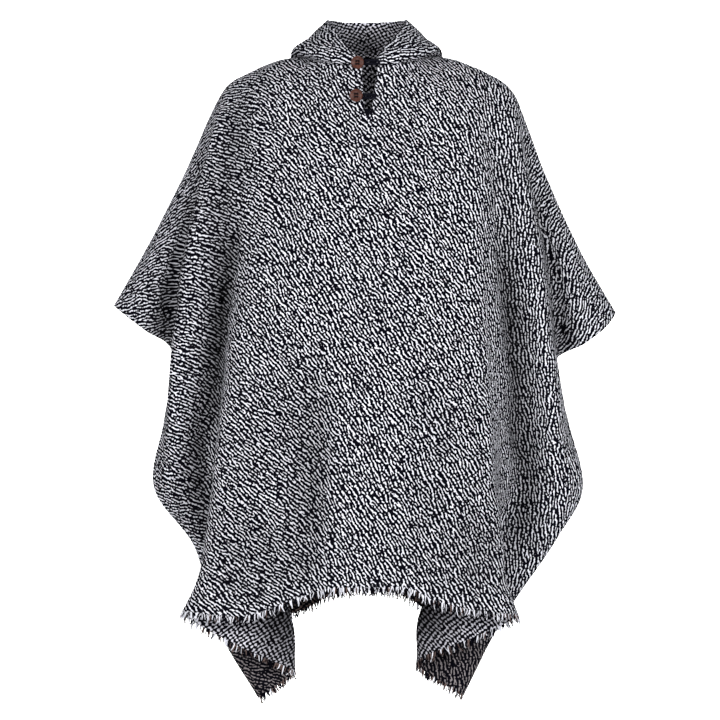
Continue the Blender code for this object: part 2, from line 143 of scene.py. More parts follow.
# Grid steps between neighbouring fold lines of one half, and between neighbouring stations
HALF_STEPS = (2, 3, 3, 2, 2, 1, 2, 2, 2, 1, 2, 1)
ACROSS_STEPS = HALF_STEPS + (1,) + HALF_STEPS[::-1]
DOWN_STEPS = (3, 3, 3, 2, 2, 2, 2, 2)
FINER_ACROSS = 5           # each grid step across is cut into this many
FINER_DOWN = 8             # and each step down into this many
CUFF_STATION = 3           # the side seam starts here, below the cuff
SLIT_STATION = 1           # the neck slit ends here
NECK_LINES = 2             # fold lines of each half that start at the neck edge

# The back panel is the front panel turned round, a little flatter, and longer towards its centre
BACK_DEPTH = 0.93
BACK_DROP = 44 * MM
# Share of the drop at the hem of each fold line
BACK_DROP_SHARE = {"slit": 0.66, "neck_front": 0.8, "neck_side": 0.95, "shoulder": 0.5}
# Where the back leaves the turned front, at the shoulder seam, arm roll and chest: distance from the centre,
# Y and Z in millimetres
BACK_NECK = {
    "neck_front": ((64, 54, 10), (60, 86, -58), (50, 120, -250)),
    "slit": ((14, 70, 13), (9, 93, -66), (9, 122, -250)),
}

# The hood's left half. Each row runs round the neck from the slit to the centre back. Its columns are the
# places of its six stations: neck seam, roll, belly, bottom, outer belly, rim
HOOD_SECTIONS = (
    ("front_end", (-11, -85, -12), (-13, -87, -10), (-15, -88, -8),
     (-17, -88, -5), (-18, -87, -2), (-19, -85, 1)),
    ("front_side", (-64, -67, -4), (-70, -71, -1), (-78, -72, 3),
     (-79, -70, 9), (-66, -64, 21), (-40, -56, 30)),
    ("side", (-103, 0, 11), (-107, 1, 11), (-112, 3, 11),
     (-119, 4, 16), (-88, 5, 43), (-63, 4, 65)),
    ("back_side", (-76, 46, 15), (-82, 57, 22), (-88, 90, -20),
     (-98, 132, -98), (-107, 120, 8), (-54, 66, 74)),
    ("back_mid", (-42, 66, 17), (-46, 77, 23), (-54, 106, -48),
     (-58, 150, -158), (-64, 165, -32), (-30, 90, 75)),
    ("back", (0, 73, 17), (0, 84, 24), (0, 114, -60),
     (0, 156, -178), (0, 182, -50), (0, 98, 75)),
)
HOOD_STEPS_ROUND = (3, 3, 3, 2, 2)
HOOD_STEPS_UP = (1, 2, 2, 3, 3)
HOOD_FINER = 6
NECK_FINER = 12            # places on each step of a neck edge that the hood may be sewn to
NECK_FADE = 2              # the hood has its own form from this station up
NECK_SHARE = 0.95          # and its seam goes this share of the way to the neck edges

# Creases of the front panel. Each row is one crease: the fold line and the station where it
# starts, those where it ends, its half width and its height in millimetres (below zero for a trough), and the
# share by which its yarn is coloured darker, since soft lamps leave a fold lighter than it looks in the photo
FRONT_CREASES = (
    ("middle_trough", 10.4, 3.2, 10.2, 7.9, 28, -10.0, 0.42),
    ("middle_ridge", 11.8, 3.6, 12.4, 8.0, 34, 5.0, 0.0),
    ("right_trough", 15.1, 3.4, 14.8, 7.6, 26, -5.0, 0.10),
    ("right_ridge", 16.0, 4.2, 15.8, 8.0, 22, 4.5, 0.0),
    ("left_ridge", 9.3, 4.6, 9.0, 8.0, 24, 4.0, 0.0),
    ("left_chest_drag", 10.6, 0.9, 8.6, 2.6, 18, -3.5, 0.05),
    ("left_chest_roll", 11.2, 1.2, 9.2, 3.0, 20, 3.0, 0.0),
    ("right_chest_drag", 14.4, 0.9, 16.5, 2.5, 18, -3.5, 0.0),
    ("slit_drag", 12.5, 1.1, 12.2, 2.8, 20, -3.0, 0.0),
    ("left_shoulder_dip", 3.8, 0.2, 6.4, 1.6, 32, -3.0, 0.15),
    ("left_valley_top", 5.0, 0.8, 4.5, 3.2, 24, -6.0, 0.48),
    ("left_valley", 4.9, 1.9, 4.5, 4.3, 17, -6.0, 0.74),
    ("left_valley_low", 4.5, 3.4, 3.3, 5.9, 15, -4.0, 0.58),
    ("left_lobe", 3.4, 1.6, 2.9, 4.4, 20, 5.0, 0.0),
    ("right_valley_top", 20.2, 1.2, 20.5, 3.3, 20, -6.0, 0.28),
    ("right_valley", 20.3, 2.1, 20.5, 4.8, 21, -6.0, 0.68),
    ("right_valley_low", 20.6, 3.8, 21.6, 6.1, 22, -4.0, 0.54),
    ("right_lobe", 21.6, 1.5, 22.1, 4.4, 20, 5.0, 0.0),
    ("left_arm_trough", 2.6, 1.0, 1.2, 3.0, 28, -7.0, 0.50),
    ("right_arm_trough", 22.1, 1.0, 23.8, 3.0, 26, -7.0, 0.45),
    ("left_cuff_hollow", 2.0, 2.2, 0.8, 3.0, 30, -2.0, 0.52),
    ("right_cuff_hollow", 23.2, 2.2, 24.4, 3.0, 30, -2.0, 0.30),
    ("left_belly_hollow", 9.4, 3.2, 9.0, 5.2, 55, -2.0, 0.15),
    ("right_belly_hollow", 15.4, 3.2, 16.0, 5.2, 55, -2.0, 0.13),
    ("left_hip_trough", 2.4, 4.2, 3.2, 5.8, 20, -5.0, 0.05),
    ("right_hip_trough", 22.6, 4.1, 21.7, 5.9, 20, -5.0, 0.05),
    ("left_knee_hollow", 8.2, 6.5, 10.0, 6.9, 75, -3.0, 0.26),
    ("right_knee_hollow", 15.2, 6.3, 17.0, 6.6, 75, -3.0, 0.28),
    ("left_tail_hollow", 5.2, 6.3, 3.2, 8.0, 70, -1.0, 0.42),
    ("right_tail_hollow", 20.0, 6.3, 21.8, 8.0, 70, -1.0, 0.46),
    ("left_tail_fold", 5.4, 6.2, 4.9, 8.0, 50, -0.5, 0.64),
    ("right_tail_fold", 19.6, 6.2, 20.1, 8.0, 50, -0.5, 0.62),
    ("left_tail_ridge", 3.5, 6.0, 3.2, 7.6, 14, 3.0, 0.0),
    ("right_tail_ridge", 21.4, 6.0, 21.9, 7.5, 14, 3.0, 0.0),
)

# Creases of the back panel, in the same columns
BACK_CREASES = (
    ("middle_trough", 12.7, 2.2, 12.9, 7.8, 34, -8.0, 0.22),
    ("left_ridge", 11.3, 3.0, 11.0, 8.0, 28, 5.0, 0.0),
    ("left_trough", 10.1, 3.6, 9.8, 7.6, 24, -6.5, 0.20),
    ("right_ridge", 14.4, 2.8, 14.1, 8.0, 30, 4.5, 0.0),
    ("right_trough", 15.6, 3.4, 16.0, 7.4, 22, -6.0, 0.16),
    ("left_shoulder_drag", 10.2, 1.0, 8.8, 2.7, 18, -3.5, 0.05),
    ("right_shoulder_drag", 15.0, 1.0, 16.3, 2.4, 20, -3.0, 0.05),
    ("left_valley_top", 4.9, 1.1, 4.5, 3.3, 21, -6.0, 0.32),
    ("left_valley", 4.7, 2.0, 4.5, 4.5, 19, -6.0, 0.52),
    ("left_valley_low", 4.4, 3.6, 3.4, 6.0, 18, -4.0, 0.48),
    ("left_lobe", 3.1, 1.4, 2.9, 4.2, 22, 4.5, 0.0),
    ("right_valley_top", 20.2, 1.0, 20.5, 3.4, 21, -6.0, 0.28),
    ("right_valley", 20.3, 2.2, 20.6, 4.6, 20, -6.0, 0.55),
    ("right_valley_low", 20.6, 3.7, 21.6, 5.9, 20, -4.0, 0.48),
    ("right_lobe", 21.8, 1.5, 22.0, 4.2, 20, 5.0, 0.0),
    ("left_arm_trough", 2.6, 0.9, 1.3, 2.9, 26, -6.5, 0.42),
    ("right_arm_trough", 22.2, 1.1, 23.7, 3.0, 27, -6.5, 0.44),
    ("left_hip_trough", 2.3, 4.0, 3.1, 5.7, 20, -4.5, 0.05),
    ("right_hip_trough", 22.7, 4.2, 21.8, 5.8, 19, -5.0, 0.05),
)

# Slow unevenness of the cloth: wavelength across and down the flat cut, height, and place along the wave
RIPPLES = (
    (0.105, 0.230, 0.9 * MM, 0.4),
    (0.071, 0.150, 0.6 * MM, 1.9),
    (0.140, 0.093, 0.7 * MM, 3.1),
)

# Slope of the weave at each fold line as seen from outside, in degrees below the level to the right: above
# the cuff and below it. The first table is for the half on the viewer's left.
WEAVE_LEFT = {
    "side": (-5, 12), "wing": (-5, 13), "sleeve_valley": (2, 14), "lobe_ridge": (14, 18),
    "valley_out": (27, 48), "valley_in": (30, 54), "under_ridge": (32, 54), "ridge_in": (34, 51),
    "ridge_out": (40, 44), "shoulder": (56, 36), "neck_side": (58, 42), "neck_front": (57, 56),
    "slit": (55, 58),
}
WEAVE_RIGHT = {
    "side": (112, 100), "wing": (106, 95), "sleeve_valley": (99, 88), "lobe_ridge": (90, 85),
    "valley_out": (81, 84), "valley_in": (78, 83), "under_ridge": (75, 79), "ridge_in": (71, 70),
    "ridge_out": (67, 64), "shoulder": (58, 62), "neck_side": (54, 61), "neck_front": (54, 60),
    "slit": (55, 59),
}

FASTENINGS = ("upper", "lower")

UNWRAP_ROUNDS = 40                     # rounds of the unwrapping that lays a cloth flat
UPRIGHT_PART = 3                       # its middle column is upright from one in this many of its rows down
CREASE_END = 0.02                      # share of a crease's run at each end that keeps the end's height
SEAM_FADE = 12 * MM                    # creases fade out over this distance from a seam
SEAM_TURN = 0.05                       # normals on the side seams are turned outwards by this share
BROWN_SHADE_CORNER = (6.4, 5.0)              # painted shade, tinted brown, on the front's yarn below this station, outside this fold line
BROWN_SHADE_MOST = 0.8                       # up to this share
BROWN_SHADE_HEM = (7.4, 4.5)                 # and on the back's below this station, inside this fold line
BROWN_SHADE_HASTE = 2.0                      # where it comes on this many times as soon
WEAVE_CHANGE = (2.5, 4.5)              # the weave's slope changes between these stations, near the cuff
WEAVE_MIDDLE = math.radians(-55)       # usual angle of the weave on the flat cut
WEAVE_RATES = (0.6, 2.0)               # limits of the weave's rate on the flat cut
HOOD_WEAVE = math.radians(8)           # angle of the weave from the way round the neck
HOOD_RIPPLE = 0.6                      # share of the slow unevenness on the hood
REVERSE_TURN = math.radians(42)        # the reverse's rows fall by this towards the centre of the flat cut
PICKS_TO_ROWS = 0.76                   # spacing of the rows over that of the picks

# Scales of the noises, in cells to a metre of the flat cut or of the object, and their detail
TURN_SCALE, ROUGH_SCALE, BREAK_SCALE = 60.0, 300.0, 120.0
YARN_SCALE, FIBRE_SCALE, PATCH_SCALE = 150.0, 1100.0, 26.0
WANDER_SCALE, TWIST_SCALE, GRAIN_SCALE, FLOOR_SCALE = 90.0, 1400.0, 1600.0, 3.0
FINE_DETAIL, FLOOR_DETAIL, STREAK_DETAIL = 1.0, 2.0, 3.0
STREAK_TURN, STREAK_STRETCH = (0.0, 0.6, 0.0), (110.0, 110.0, 480.0)
TWILL_WAVES = 1.6                      # waves of the twill to one cell of its noise
TURN_SHARE = 0.7                       # how far a noise turns the weave, in radians
WANDER_SHARE = 4.0 * MM                # how far a noise bends the rows of the reverse
# How values are mixed: a share for each in turn, and a last one that is added as it is
FACE_MIX = (0.5, 1.7, 0.5, -0.28)      # wave, roughness and breaks of the face
REVERSE_MIX = (0.34, 0.34, 1.5, -0.13)  # rows, picks and roughness of the reverse
WORN_MIX = (0.5, 0.4, 0.84)            # yarn and fibre in how light the yarn is
LIT_MIX = (0.2, -1.0, 0.98)            # patches and painted shade in how light the cloth is
BUMP_MIX = (0.8, 0.25)                 # slub and fibre in the cloth's bump
TWIST_MIX, GRAIN_MIX = (0.5, 0.85), (0.8, 0.8)
STREAK_MIX, FLOOR_MIX = (1.5, 0.75), (0.02, 0.97)
# Each step is where it starts and ends. The last two part the tones of strands: 0 dark, 1 light and 2 brown
FACE_STEP, REVERSE_STEP = (-0.09, 0.13), (-0.10, 0.22)
LIGHT_STEP, BROWN_STEP = (0.45, 0.55), (1.45, 1.55)
# Each bump is its depth and its strength
CLOTH_BUMP, FINE_BUMP, STREAK_BUMP = (1.1 * MM, 0.8), (0.3 * MM, 0.6), (0.15 * MM, 0.4)
MATT = {"Roughness": 0.95, "Specular_IOR_Level": 0.04}
CORDED = {"Roughness": 0.9, "Specular_IOR_Level": 0.05}
SATIN = {"Roughness": 0.38, "Specular_IOR_Level": 0.25}
BLACK, WHITE = (0.0, 0.0, 0.0, 1.0), (1.0, 1.0, 1.0, 1.0)
# painted shade in the shallow sewing-hole dents, near black
HOLE_SHADE_COLOUR = (0.004, 0.003, 0.003, 1.0)
MIX_INPUTS, MIX_OUTPUT = (0, 6, 7), 2  # sockets of a mix node that are for colours

FRINGE_SEED = 40
FRINGE_RINGS = 5                       # rings of points along a strand
FRINGE_ROOT = 1.0 * MM                 # a strand starts this far up inside the hem
STRAND_SIDES = 4
STRAND_DEPTHS = (0.3, 0.7)             # a hem's strands start at a depth between these shares of the wall
STRAND_SPREADS = (0.22, 0.14, 0.22)    # of a strand's lean along the hem, its tilt outwards and its bend
STRAND_LENGTHS = (0.55, 1.05)          # shortest and longest strand, as shares of the length
STRAND_RADII = (0.55, 1.0)             # thinnest and thickest strand, as shares of the radius
STRAND_TAPER = 0.55                    # share of its radius that a strand loses up to its tip
# Shares of dark, light and brown strands in the front's fringe and in the back's, whose extra dark strands
# are partly painted shade
FRINGE_SHARES = {-1: (0.48, 0.42, 0.10), 1: (0.62, 0.14, 0.24)}
TAIL_SHADE_SHARES = (0.58, 0.14, 0.28)       # the same on the tails, darker as painted shade, where strands start below this height
TAIL_TOP = -0.905

# The button's profile from the middle of its face round to the middle of its back. Each row is one place on
# it: its distance from the centre as a share of the radius, and its height as a share of half the thickness
BUTTON_PROFILE = (
    ("middle", 0.0, 0.50), ("dish", 0.30, 0.50), ("dish_edge", 0.66, 0.58), ("rim_inside", 0.78, 0.92),
    ("crest", 0.87, 1.0), ("rim_outside", 0.96, 0.72), ("edge", 1.0, 0.15), ("back_edge", 0.97, -0.60),
    ("back_turn", 0.86, -0.95), ("back", 0.45, -1.0), ("back_middle", 0.0, -1.0),
)
BUTTON_RINGS = 61
BUTTON_SIDES = 72
BUTTON_FACE = 0.9 * MM                 # height of the dish above the button's middle plane
HOLE_DEPTH = 1.0 * MM
LOOP_POINTS = 120
LOOP_SIDES = 14
LOOP_SHARPNESS = 4.0                   # how soon the round ends of a loop turn into its straight runs
STITCH_POINTS = 7
SHANK_SUNK = 1.4 * MM                  # a shank ends this far behind its loop, in the cloth
SHANK_THREADS = 3.0                    # a shank is this many threads thick
POLE_GAP = 0.001 * MM                  # points closer than this at a button's middle are one
TACK_STITCHES = 7
TACK_HALF = 6.5 * MM                   # half the width of the bar tack
TACK_PITCH = 2.1                       # from one of its stitches to the next, in radii of the thread
TACK_ARCH, TACK_SUNK = 1.6, 0.6        # rise of such a stitch, and how far its ends are sunk, in radii
THREAD_SIDES = 4

# The floor: radius of its bend up into the wall, where the bend starts, and the wall's height and half width
FLOOR_BEND, FLOOR_START, WALL_HEIGHT, WALL_HALF = 1.6, 4.8, 7.0, 8.0
BEND_POINTS, FLOOR_COLUMNS = 24, 3
FLOOR_COLOUR, FLOOR_ROUGHNESS = (0.92, 0.92, 0.92, 1.0), 0.9
WORLD_STRENGTH = 0.12
SENSOR_WIDTH = 36.0                    # of the camera, in millimetres
CAMERA_X, CAMERA_Z = -0.011, -0.471
# Each row is one soft light: its name, place, what it points at, power, size and spread in degrees
LIGHTS = (
    ("left_light", (-2.8, -3.3, 0.7), (0.0, 0.0, -0.35), 128.0, 1.2, 180.0),
    ("right_light", (2.8, -3.3, 0.7), (0.0, 0.0, -0.35), 141.0, 1.2, 180.0),
    ("front_light", (0.2, -4.6, 0.35), (0.0, 0.0, -0.2), 52.0, 0.8, 180.0),
    ("back_light", (0.0, 4.4, 0.8), (0.0, 0.0, -0.4), 60.0, 2.0, 180.0),
    ("wall_light", (0.0, 3.9, 2.2), (0.0, 6.1, -0.6), 190.0, 2.4, 90.0),
)


class PonchoCloth(bpy.types.PropertyGroup):
    """Sizes and colours of the woven cloth."""

    wall: bpy.props.FloatProperty(
        name="Wall", description="Thickness of the woven cloth", default=0.0024, min=0.001, unit="LENGTH")
    twill_period: bpy.props.FloatProperty(
        name="Twill period", description="Distance from one slub line to the next", default=0.0056,
        unit="LENGTH")
    reverse_period: bpy.props.FloatProperty(
        name="Reverse period", description="Distance between rows of dots on the reverse", default=0.0054,
        unit="LENGTH")
    light_yarn: bpy.props.FloatVectorProperty(
        name="Light yarn", description="Colour of the slub yarn", default=(0.87, 0.875, 0.955),
        subtype="COLOR")
    dark_yarn: bpy.props.FloatVectorProperty(
        name="Dark yarn", description="Colour of the ground yarn", default=(0.0012, 0.0012, 0.0036),
        subtype="COLOR")
    reverse_yarn: bpy.props.FloatVectorProperty(
        name="Reverse yarn", description="Colour of the dots on the reverse", default=(0.82, 0.81, 0.90),
        subtype="COLOR")
    # also the colour that the painted shade near the hems turns the cloth's yarn towards
    brown_yarn_and_shade: bpy.props.FloatVectorProperty(
        name="Brown yarn", description="Colour of the yarn near the hems and of the odd fringe strand",
        default=(0.12, 0.085, 0.078), subtype="COLOR")


class PonchoFringe(bpy.types.PropertyGroup):
    """Sizes of the fringe."""

    pitch: bpy.props.FloatProperty(
        name="Pitch", description="Distance between strands along a hem", default=0.0017, unit="LENGTH")
    length: bpy.props.FloatProperty(
        name="Length", description="Length of the longest strands", default=0.0145, unit="LENGTH")
    radius: bpy.props.FloatProperty(
        name="Radius", description="Radius of a thick strand at its root", default=0.0016, unit="LENGTH")


class PonchoFastenings(bpy.types.PropertyGroup):
    """Sizes and colours of the buttons, loops and stitches."""

    shell: bpy.props.FloatVectorProperty(
        name="Shell", description="Colour of the turned shell", default=(0.075, 0.020, 0.011),
        subtype="COLOR")
    hole_radius: bpy.props.FloatProperty(
        name="Hole radius", description="Radius of a button's sewing hole", default=0.0018, unit="LENGTH")
    hole_spread: bpy.props.FloatProperty(
        name="Hole spread", description="From a button's centre to a sewing hole", default=0.0031,
        unit="LENGTH")
    cord_radius: bpy.props.FloatProperty(
        name="Cord radius", description="Radius of a rolled cloth loop", default=0.0022, unit="LENGTH")
    thread_radius: bpy.props.FloatProperty(
        name="Thread radius", description="Radius of the sewing thread", default=0.0008, unit="LENGTH")
    cord: bpy.props.FloatVectorProperty(
        name="Cord", description="Colour of the loops and the thread", default=(0.004, 0.004, 0.008),
        subtype="COLOR")


class PonchoStage(bpy.types.PropertyGroup):
    """Floor, light and camera."""

    floor_gap: bpy.props.FloatProperty(
        name="Floor gap", description="From the lowest fringe to the floor", default=0.72, unit="LENGTH")
    camera_distance: bpy.props.FloatProperty(
        name="Camera distance", description="From the camera to the shoulder seams' plane", default=4.0,
        unit="LENGTH")
    view_width: bpy.props.FloatProperty(
        name="View width", description="Width that the picture shows at that plane", default=1.1376,
        unit="LENGTH")


def table_places(table):
    """The places in a table of named rows as an array [row, station, axis] in metres."""
    return np.array([row[1:] for row in table], dtype=float) * MM


def unit(vectors):
    """The vectors at length one."""
    return vectors / np.maximum(np.linalg.norm(vectors, axis=-1, keepdims=True), SHORTEST_CHORD)


def across_plane(points, axis):
    """The points mirrored through the plane where one coordinate is zero."""
    mirrored = points.copy()
    mirrored[..., axis] *= -1
    return mirrored


def beyond(end, inner):
    """The place one step past an open edge."""
    return 2 * end - inner


def smooth_through(points, steps, before=None, after=None):
    """Points on smooth curves through points[i] along the first axis, with steps[i] to each stretch.

    Cubic Hermite stretches: with s from 0 to 1 along a stretch, a point is the sum of its two ends weighted
    by (1 + 2s)(1 - s)^2 and s^2(3 - 2s), and of the two tangents weighted by s(1 - s)^2 and s^2(s - 1). A
    tangent is the mean of its two chords, each over the square root of its length. before and after are the
    places beyond the two ends, which run on straight where none is given.
    """
    before = beyond(points[0], points[1]) if before is None else before
    after = beyond(points[-1], points[-2]) if after is None else after
    run = np.concatenate([before[None], points, after[None]])
    chord = np.sqrt(np.linalg.norm(np.diff(run, axis=0), axis=-1, keepdims=True)) + SHORTEST_CHORD
    slope = np.diff(run, axis=0) / chord
    tangent = (slope[:-1] * chord[1:] + slope[1:] * chord[:-1]) / (chord[:-1] + chord[1:])
    stretch = np.repeat(np.arange(len(steps)), steps)
    s = np.concatenate([np.arange(count) / count for count in steps])[:, None, None]
    reach = chord[stretch + 1]
    start = (1 + 2 * s) * (1 - s) ** 2 * points[stretch] + s * (1 - s) ** 2 * reach * tangent[stretch]
    end = s * s * (3 - 2 * s) * points[stretch + 1] + s * s * (s - 1) * reach * tangent[stretch + 1]
    return np.concatenate([start + end, points[-1:]])


def times(steps, factor):
    """Grid steps, each cut into factor smaller ones."""
    return tuple(step * factor for step in steps)


def finer(values, first_steps, second_steps):
    """A grid of values [first, second, axis] on smooth curves with more steps along both axes."""
    values = smooth_through(values, first_steps)
    return np.swapaxes(smooth_through(np.swapaxes(values, 0, 1), second_steps), 0, 1)


def front_stations():
    """Fold lines of the whole front panel, from the left side seam to the right one."""
    return np.concatenate([table_places(LEFT_FOLDS), table_places(RIGHT_FOLDS)[::-1]])


def back_half(folds, side):
    """Fold lines of one half of the back: the front's turned round, with its own neck and longer hem."""
    stations = across_plane(table_places(folds), 1)
    stations[..., 1] *= BACK_DEPTH
    for line, row in enumerate(folds):
        for station, (out, depth, height) in enumerate(BACK_NECK.get(row[0], ())):
            stations[line, station] = np.array([side * out, depth, height]) * MM
        stations[line, -1, 2] -= BACK_DROP_SHARE.get(row[0], 0.0) * BACK_DROP
    return stations


def back_stations():
    """Fold lines of the whole back panel, from the left side seam to the right one."""
    return np.concatenate([back_half(LEFT_FOLDS, -1), back_half(RIGHT_FOLDS, 1)[::-1]])


def panel_surface(stations, down_finer, across_finer, outward):
    """Grid of panel points [step down, step across, axis]: smooth curves down the fold lines, then across.

    The shoulder and side seams are crossed squarely, since the other panel goes on there. The neck edge, the
    cuffs and the hem end freely. All points stay on the panel's own side of the seams' plane.
    """
    down_steps = times(DOWN_STEPS, down_finer)
    above = across_plane(stations[:, 1], 1)
    middle = len(stations) // 2
    neck = slice(middle - NECK_LINES, middle + NECK_LINES)
    above[neck] = beyond(stations[neck, 0], stations[neck, 1])
    columns = np.swapaxes(smooth_through(np.swapaxes(stations, 0, 1), down_steps, above), 0, 1)
    cuff_rows = sum(down_steps[:CUFF_STATION])
    outside = []
    for edge, inner in ((columns[0], columns[1]), (columns[-1], columns[-2])):
        side = across_plane(inner, 1)
        side[:cuff_rows] = beyond(edge, inner)[:cuff_rows]
        outside.append(side)
    grid = np.swapaxes(smooth_through(columns, times(ACROSS_STEPS, across_finer), *outside), 0, 1)
    grid[..., 1] = outward * np.maximum(outward * grid[..., 1], 0.0)
    return grid


def hood_surface(steps_finer):
    """Grid of the left hood half [step round, step up, axis]: smooth curves up the sections, then round."""
    sections = np.swapaxes(table_places(HOOD_SECTIONS), 0, 1)
    columns = np.swapaxes(smooth_through(sections, times(HOOD_STEPS_UP, steps_finer)), 0, 1)
    after = across_plane(columns[-2], 0)
    return smooth_through(columns, times(HOOD_STEPS_ROUND, steps_finer), after=after)


def grid_normals(grid, turn):
    """Unit normals of a grid: the cross product of its differences down and across, times turn."""
    return turn * unit(np.cross(np.gradient(grid, axis=0), np.gradient(grid, axis=1)))


def cloth_mask(down_finer, across_finer, has_slit):
    """Which quads of a panel are cloth: all but the middle column above the end of the slit."""
    kept = np.ones((sum(DOWN_STEPS) * down_finer, sum(ACROSS_STEPS) * across_finer), dtype=bool)
    first = sum(HALF_STEPS) * across_finer
    if has_slit:
        kept[:sum(DOWN_STEPS[:SLIT_STATION]) * down_finer, first:first + across_finer] = False
    return kept


def quads_of(kept):
    """Vertex numbers of the kept quads of a grid, as an array [quad, corner]."""
    rows, columns = kept.shape
    index = np.arange((rows + 1) * (columns + 1)).reshape(rows + 1, columns + 1)
    corners = (index[:-1, :-1], index[1:, :-1], index[1:, 1:], index[:-1, 1:])
    return np.stack([corner[kept] for corner in corners], axis=1)


def whole(grid):
    """A mask that keeps every quad of a grid."""
    return np.ones((grid.shape[0] - 1, grid.shape[1] - 1), dtype=bool)


def tube_quads(rings, sides, closed=False):
    """Quads of a tube of rings, its sides joined round and, if closed, its last ring joined to its first."""
    ring, side = np.meshgrid(np.arange(rings - (not closed)), np.arange(sides), indexing="ij")
    after, turned = (ring + 1) % rings, (side + 1) % sides
    corners = (ring * sides + side, after * sides + side, after * sides + turned, ring * sides + turned)
    return np.stack(corners, axis=-1).reshape(-1, 4)


def capped(quads, count):
    """The quads of an open four-sided tube of count points, with a quad on each end."""
    last = count - 4
    return np.concatenate([quads, [[0, 1, 2, 3], [last + 3, last + 2, last + 1, last]]])


def flat_cut(grid, kept, mirrored):
    """Flat place (across, up) in metres of every grid point: the surface unwrapped with the least stretch.

    The outline is scaled to the cloth's own area, and turned so that the middle column stands upright.
    """
    quads = quads_of(kept)
    mesh = bpy.data.meshes.new("flat_cut")
    mesh.from_pydata(grid.reshape(-1, 3).tolist(), [], quads.tolist())
    cloth = bpy.data.objects.new("flat_cut", mesh)
    bpy.context.scene.collection.objects.link(cloth)
    bpy.ops.object.select_all(action="DESELECT")
    bpy.context.view_layer.objects.active = cloth
    cloth.select_set(True)
    bpy.ops.object.mode_set(mode="EDIT")
    bpy.ops.mesh.select_all(action="SELECT")
    bpy.ops.uv.unwrap(method="MINIMUM_STRETCH", margin=0.0, iterations=UNWRAP_ROUNDS)
    bpy.ops.object.mode_set(mode="OBJECT")
    corner_uv = np.empty(quads.size * 2)
    mesh.uv_layers.active.data.foreach_get("uv", corner_uv)
    flat = np.zeros((grid.shape[0] * grid.shape[1], 2))
    flat[quads.ravel()] = corner_uv.reshape(-1, 2)
    bpy.data.objects.remove(cloth)
    bpy.data.meshes.remove(mesh)

    corners, ends = grid.reshape(-1, 3)[quads], flat[quads]
    solid = np.cross(corners[:, 2] - corners[:, 0], corners[:, 3] - corners[:, 1])
    first, second = ends[:, 2] - ends[:, 0], ends[:, 3] - ends[:, 1]
    signed = np.sum(first[:, 0] * second[:, 1] - first[:, 1] * second[:, 0])
    flat *= math.sqrt(np.sum(np.linalg.norm(solid, axis=1)) / abs(signed))
    flat = flat.reshape(*grid.shape[:2], 2)
    middle = flat.shape[1] // 2
    upright = unit(flat[flat.shape[0] // UPRIGHT_PART, middle] - flat[-1, middle])
    flat = flat @ np.array([[upright[1], upright[0]], [-upright[0], upright[1]]])
    if (flat[-1, -1, 0] < flat[-1, 0, 0]) != mirrored:
        flat[..., 0] *= -1
    return flat - flat[-1, middle]


def place_on(values, line, station):
    """The fine grid's value nearest to a place given by its fold line and station, both with fractions."""
    rows = np.concatenate([[0], np.cumsum(DOWN_STEPS)]) * FINER_DOWN
    columns = np.concatenate([[0], np.cumsum(ACROSS_STEPS)]) * FINER_ACROSS
    row = np.interp(station, np.arange(len(rows)), rows)
    column = np.interp(line, np.arange(len(columns)), columns)
    return values[round(row), round(column)]


def crease_fields(flat, creases):
    """Height of the creases, and their painted shade, at every point of a panel's flat cut.

    A crease is a straight run on the flat cut. Its height falls off from the run as exp(-(d / w)^2), where d
    is the distance from it and w its half width, and swells along it as the square root of sin(pi t). What
    each crease leaves of the light is multiplied up.
    """
    height, light = np.zeros(flat.shape[:2]), np.ones(flat.shape[:2])
    for _, line, station, end_line, end_station, half_width, rise, shade in creases:
        start = place_on(flat, line, station)
        run = place_on(flat, end_line, end_station) - start
        share = np.clip(((flat - start) @ run) / (run @ run), 0.0, 1.0)
        distance = np.linalg.norm(flat - start - share[..., None] * run, axis=-1)
        swell = np.sqrt(np.sin(np.pi * np.clip(share, CREASE_END, 1 - CREASE_END)))
        form = swell * np.exp(-(distance / (half_width * MM)) ** 2)
        height += rise * MM * form
        light *= 1.0 - shade * form
    return height, 1.0 - light


def ripple_height(flat):
    """Sum of slow waves over the flat cut: each is its height times two sines, one across and one down."""
    across, down = flat[..., 0], flat[..., 1]
    turn = 2 * np.pi
    return sum(height * np.sin(turn * across / wide + place) * np.sin(turn * down / long + 2 * place)
               for wide, long, height, place in RIPPLES)


def seam_fade(grid):
    """From 0 on the seams' plane to 1 away from it, so that creases leave the seams where they are."""
    return np.clip(np.abs(grid[..., 1]) / SEAM_FADE, 0.0, 1.0)


def weave_from_down(stations, outward):
    """Angle of the weave from the way down each fold line towards its neighbour, at every station.

    It is the slope of the fold line, as seen from outside, less the slope that the tables give the weave.
    """
    left, right = (WEAVE_LEFT, WEAVE_RIGHT)[::-outward]
    slopes = [left[row[0]] for row in LEFT_FOLDS] + [right[row[0]] for row in RIGHT_FOLDS[::-1]]
    start, end = WEAVE_CHANGE
    below = np.clip((np.arange(stations.shape[1]) - start) / (end - start), 0.0, 1.0)
    top, bottom = np.radians(np.array(slopes, dtype=float)).T[..., None]
    way = np.gradient(stations, axis=1)
    line_slope = np.arctan2(-way[..., 2], -outward * way[..., 0])
    return -outward * (line_slope - (top + (bottom - top) * below))


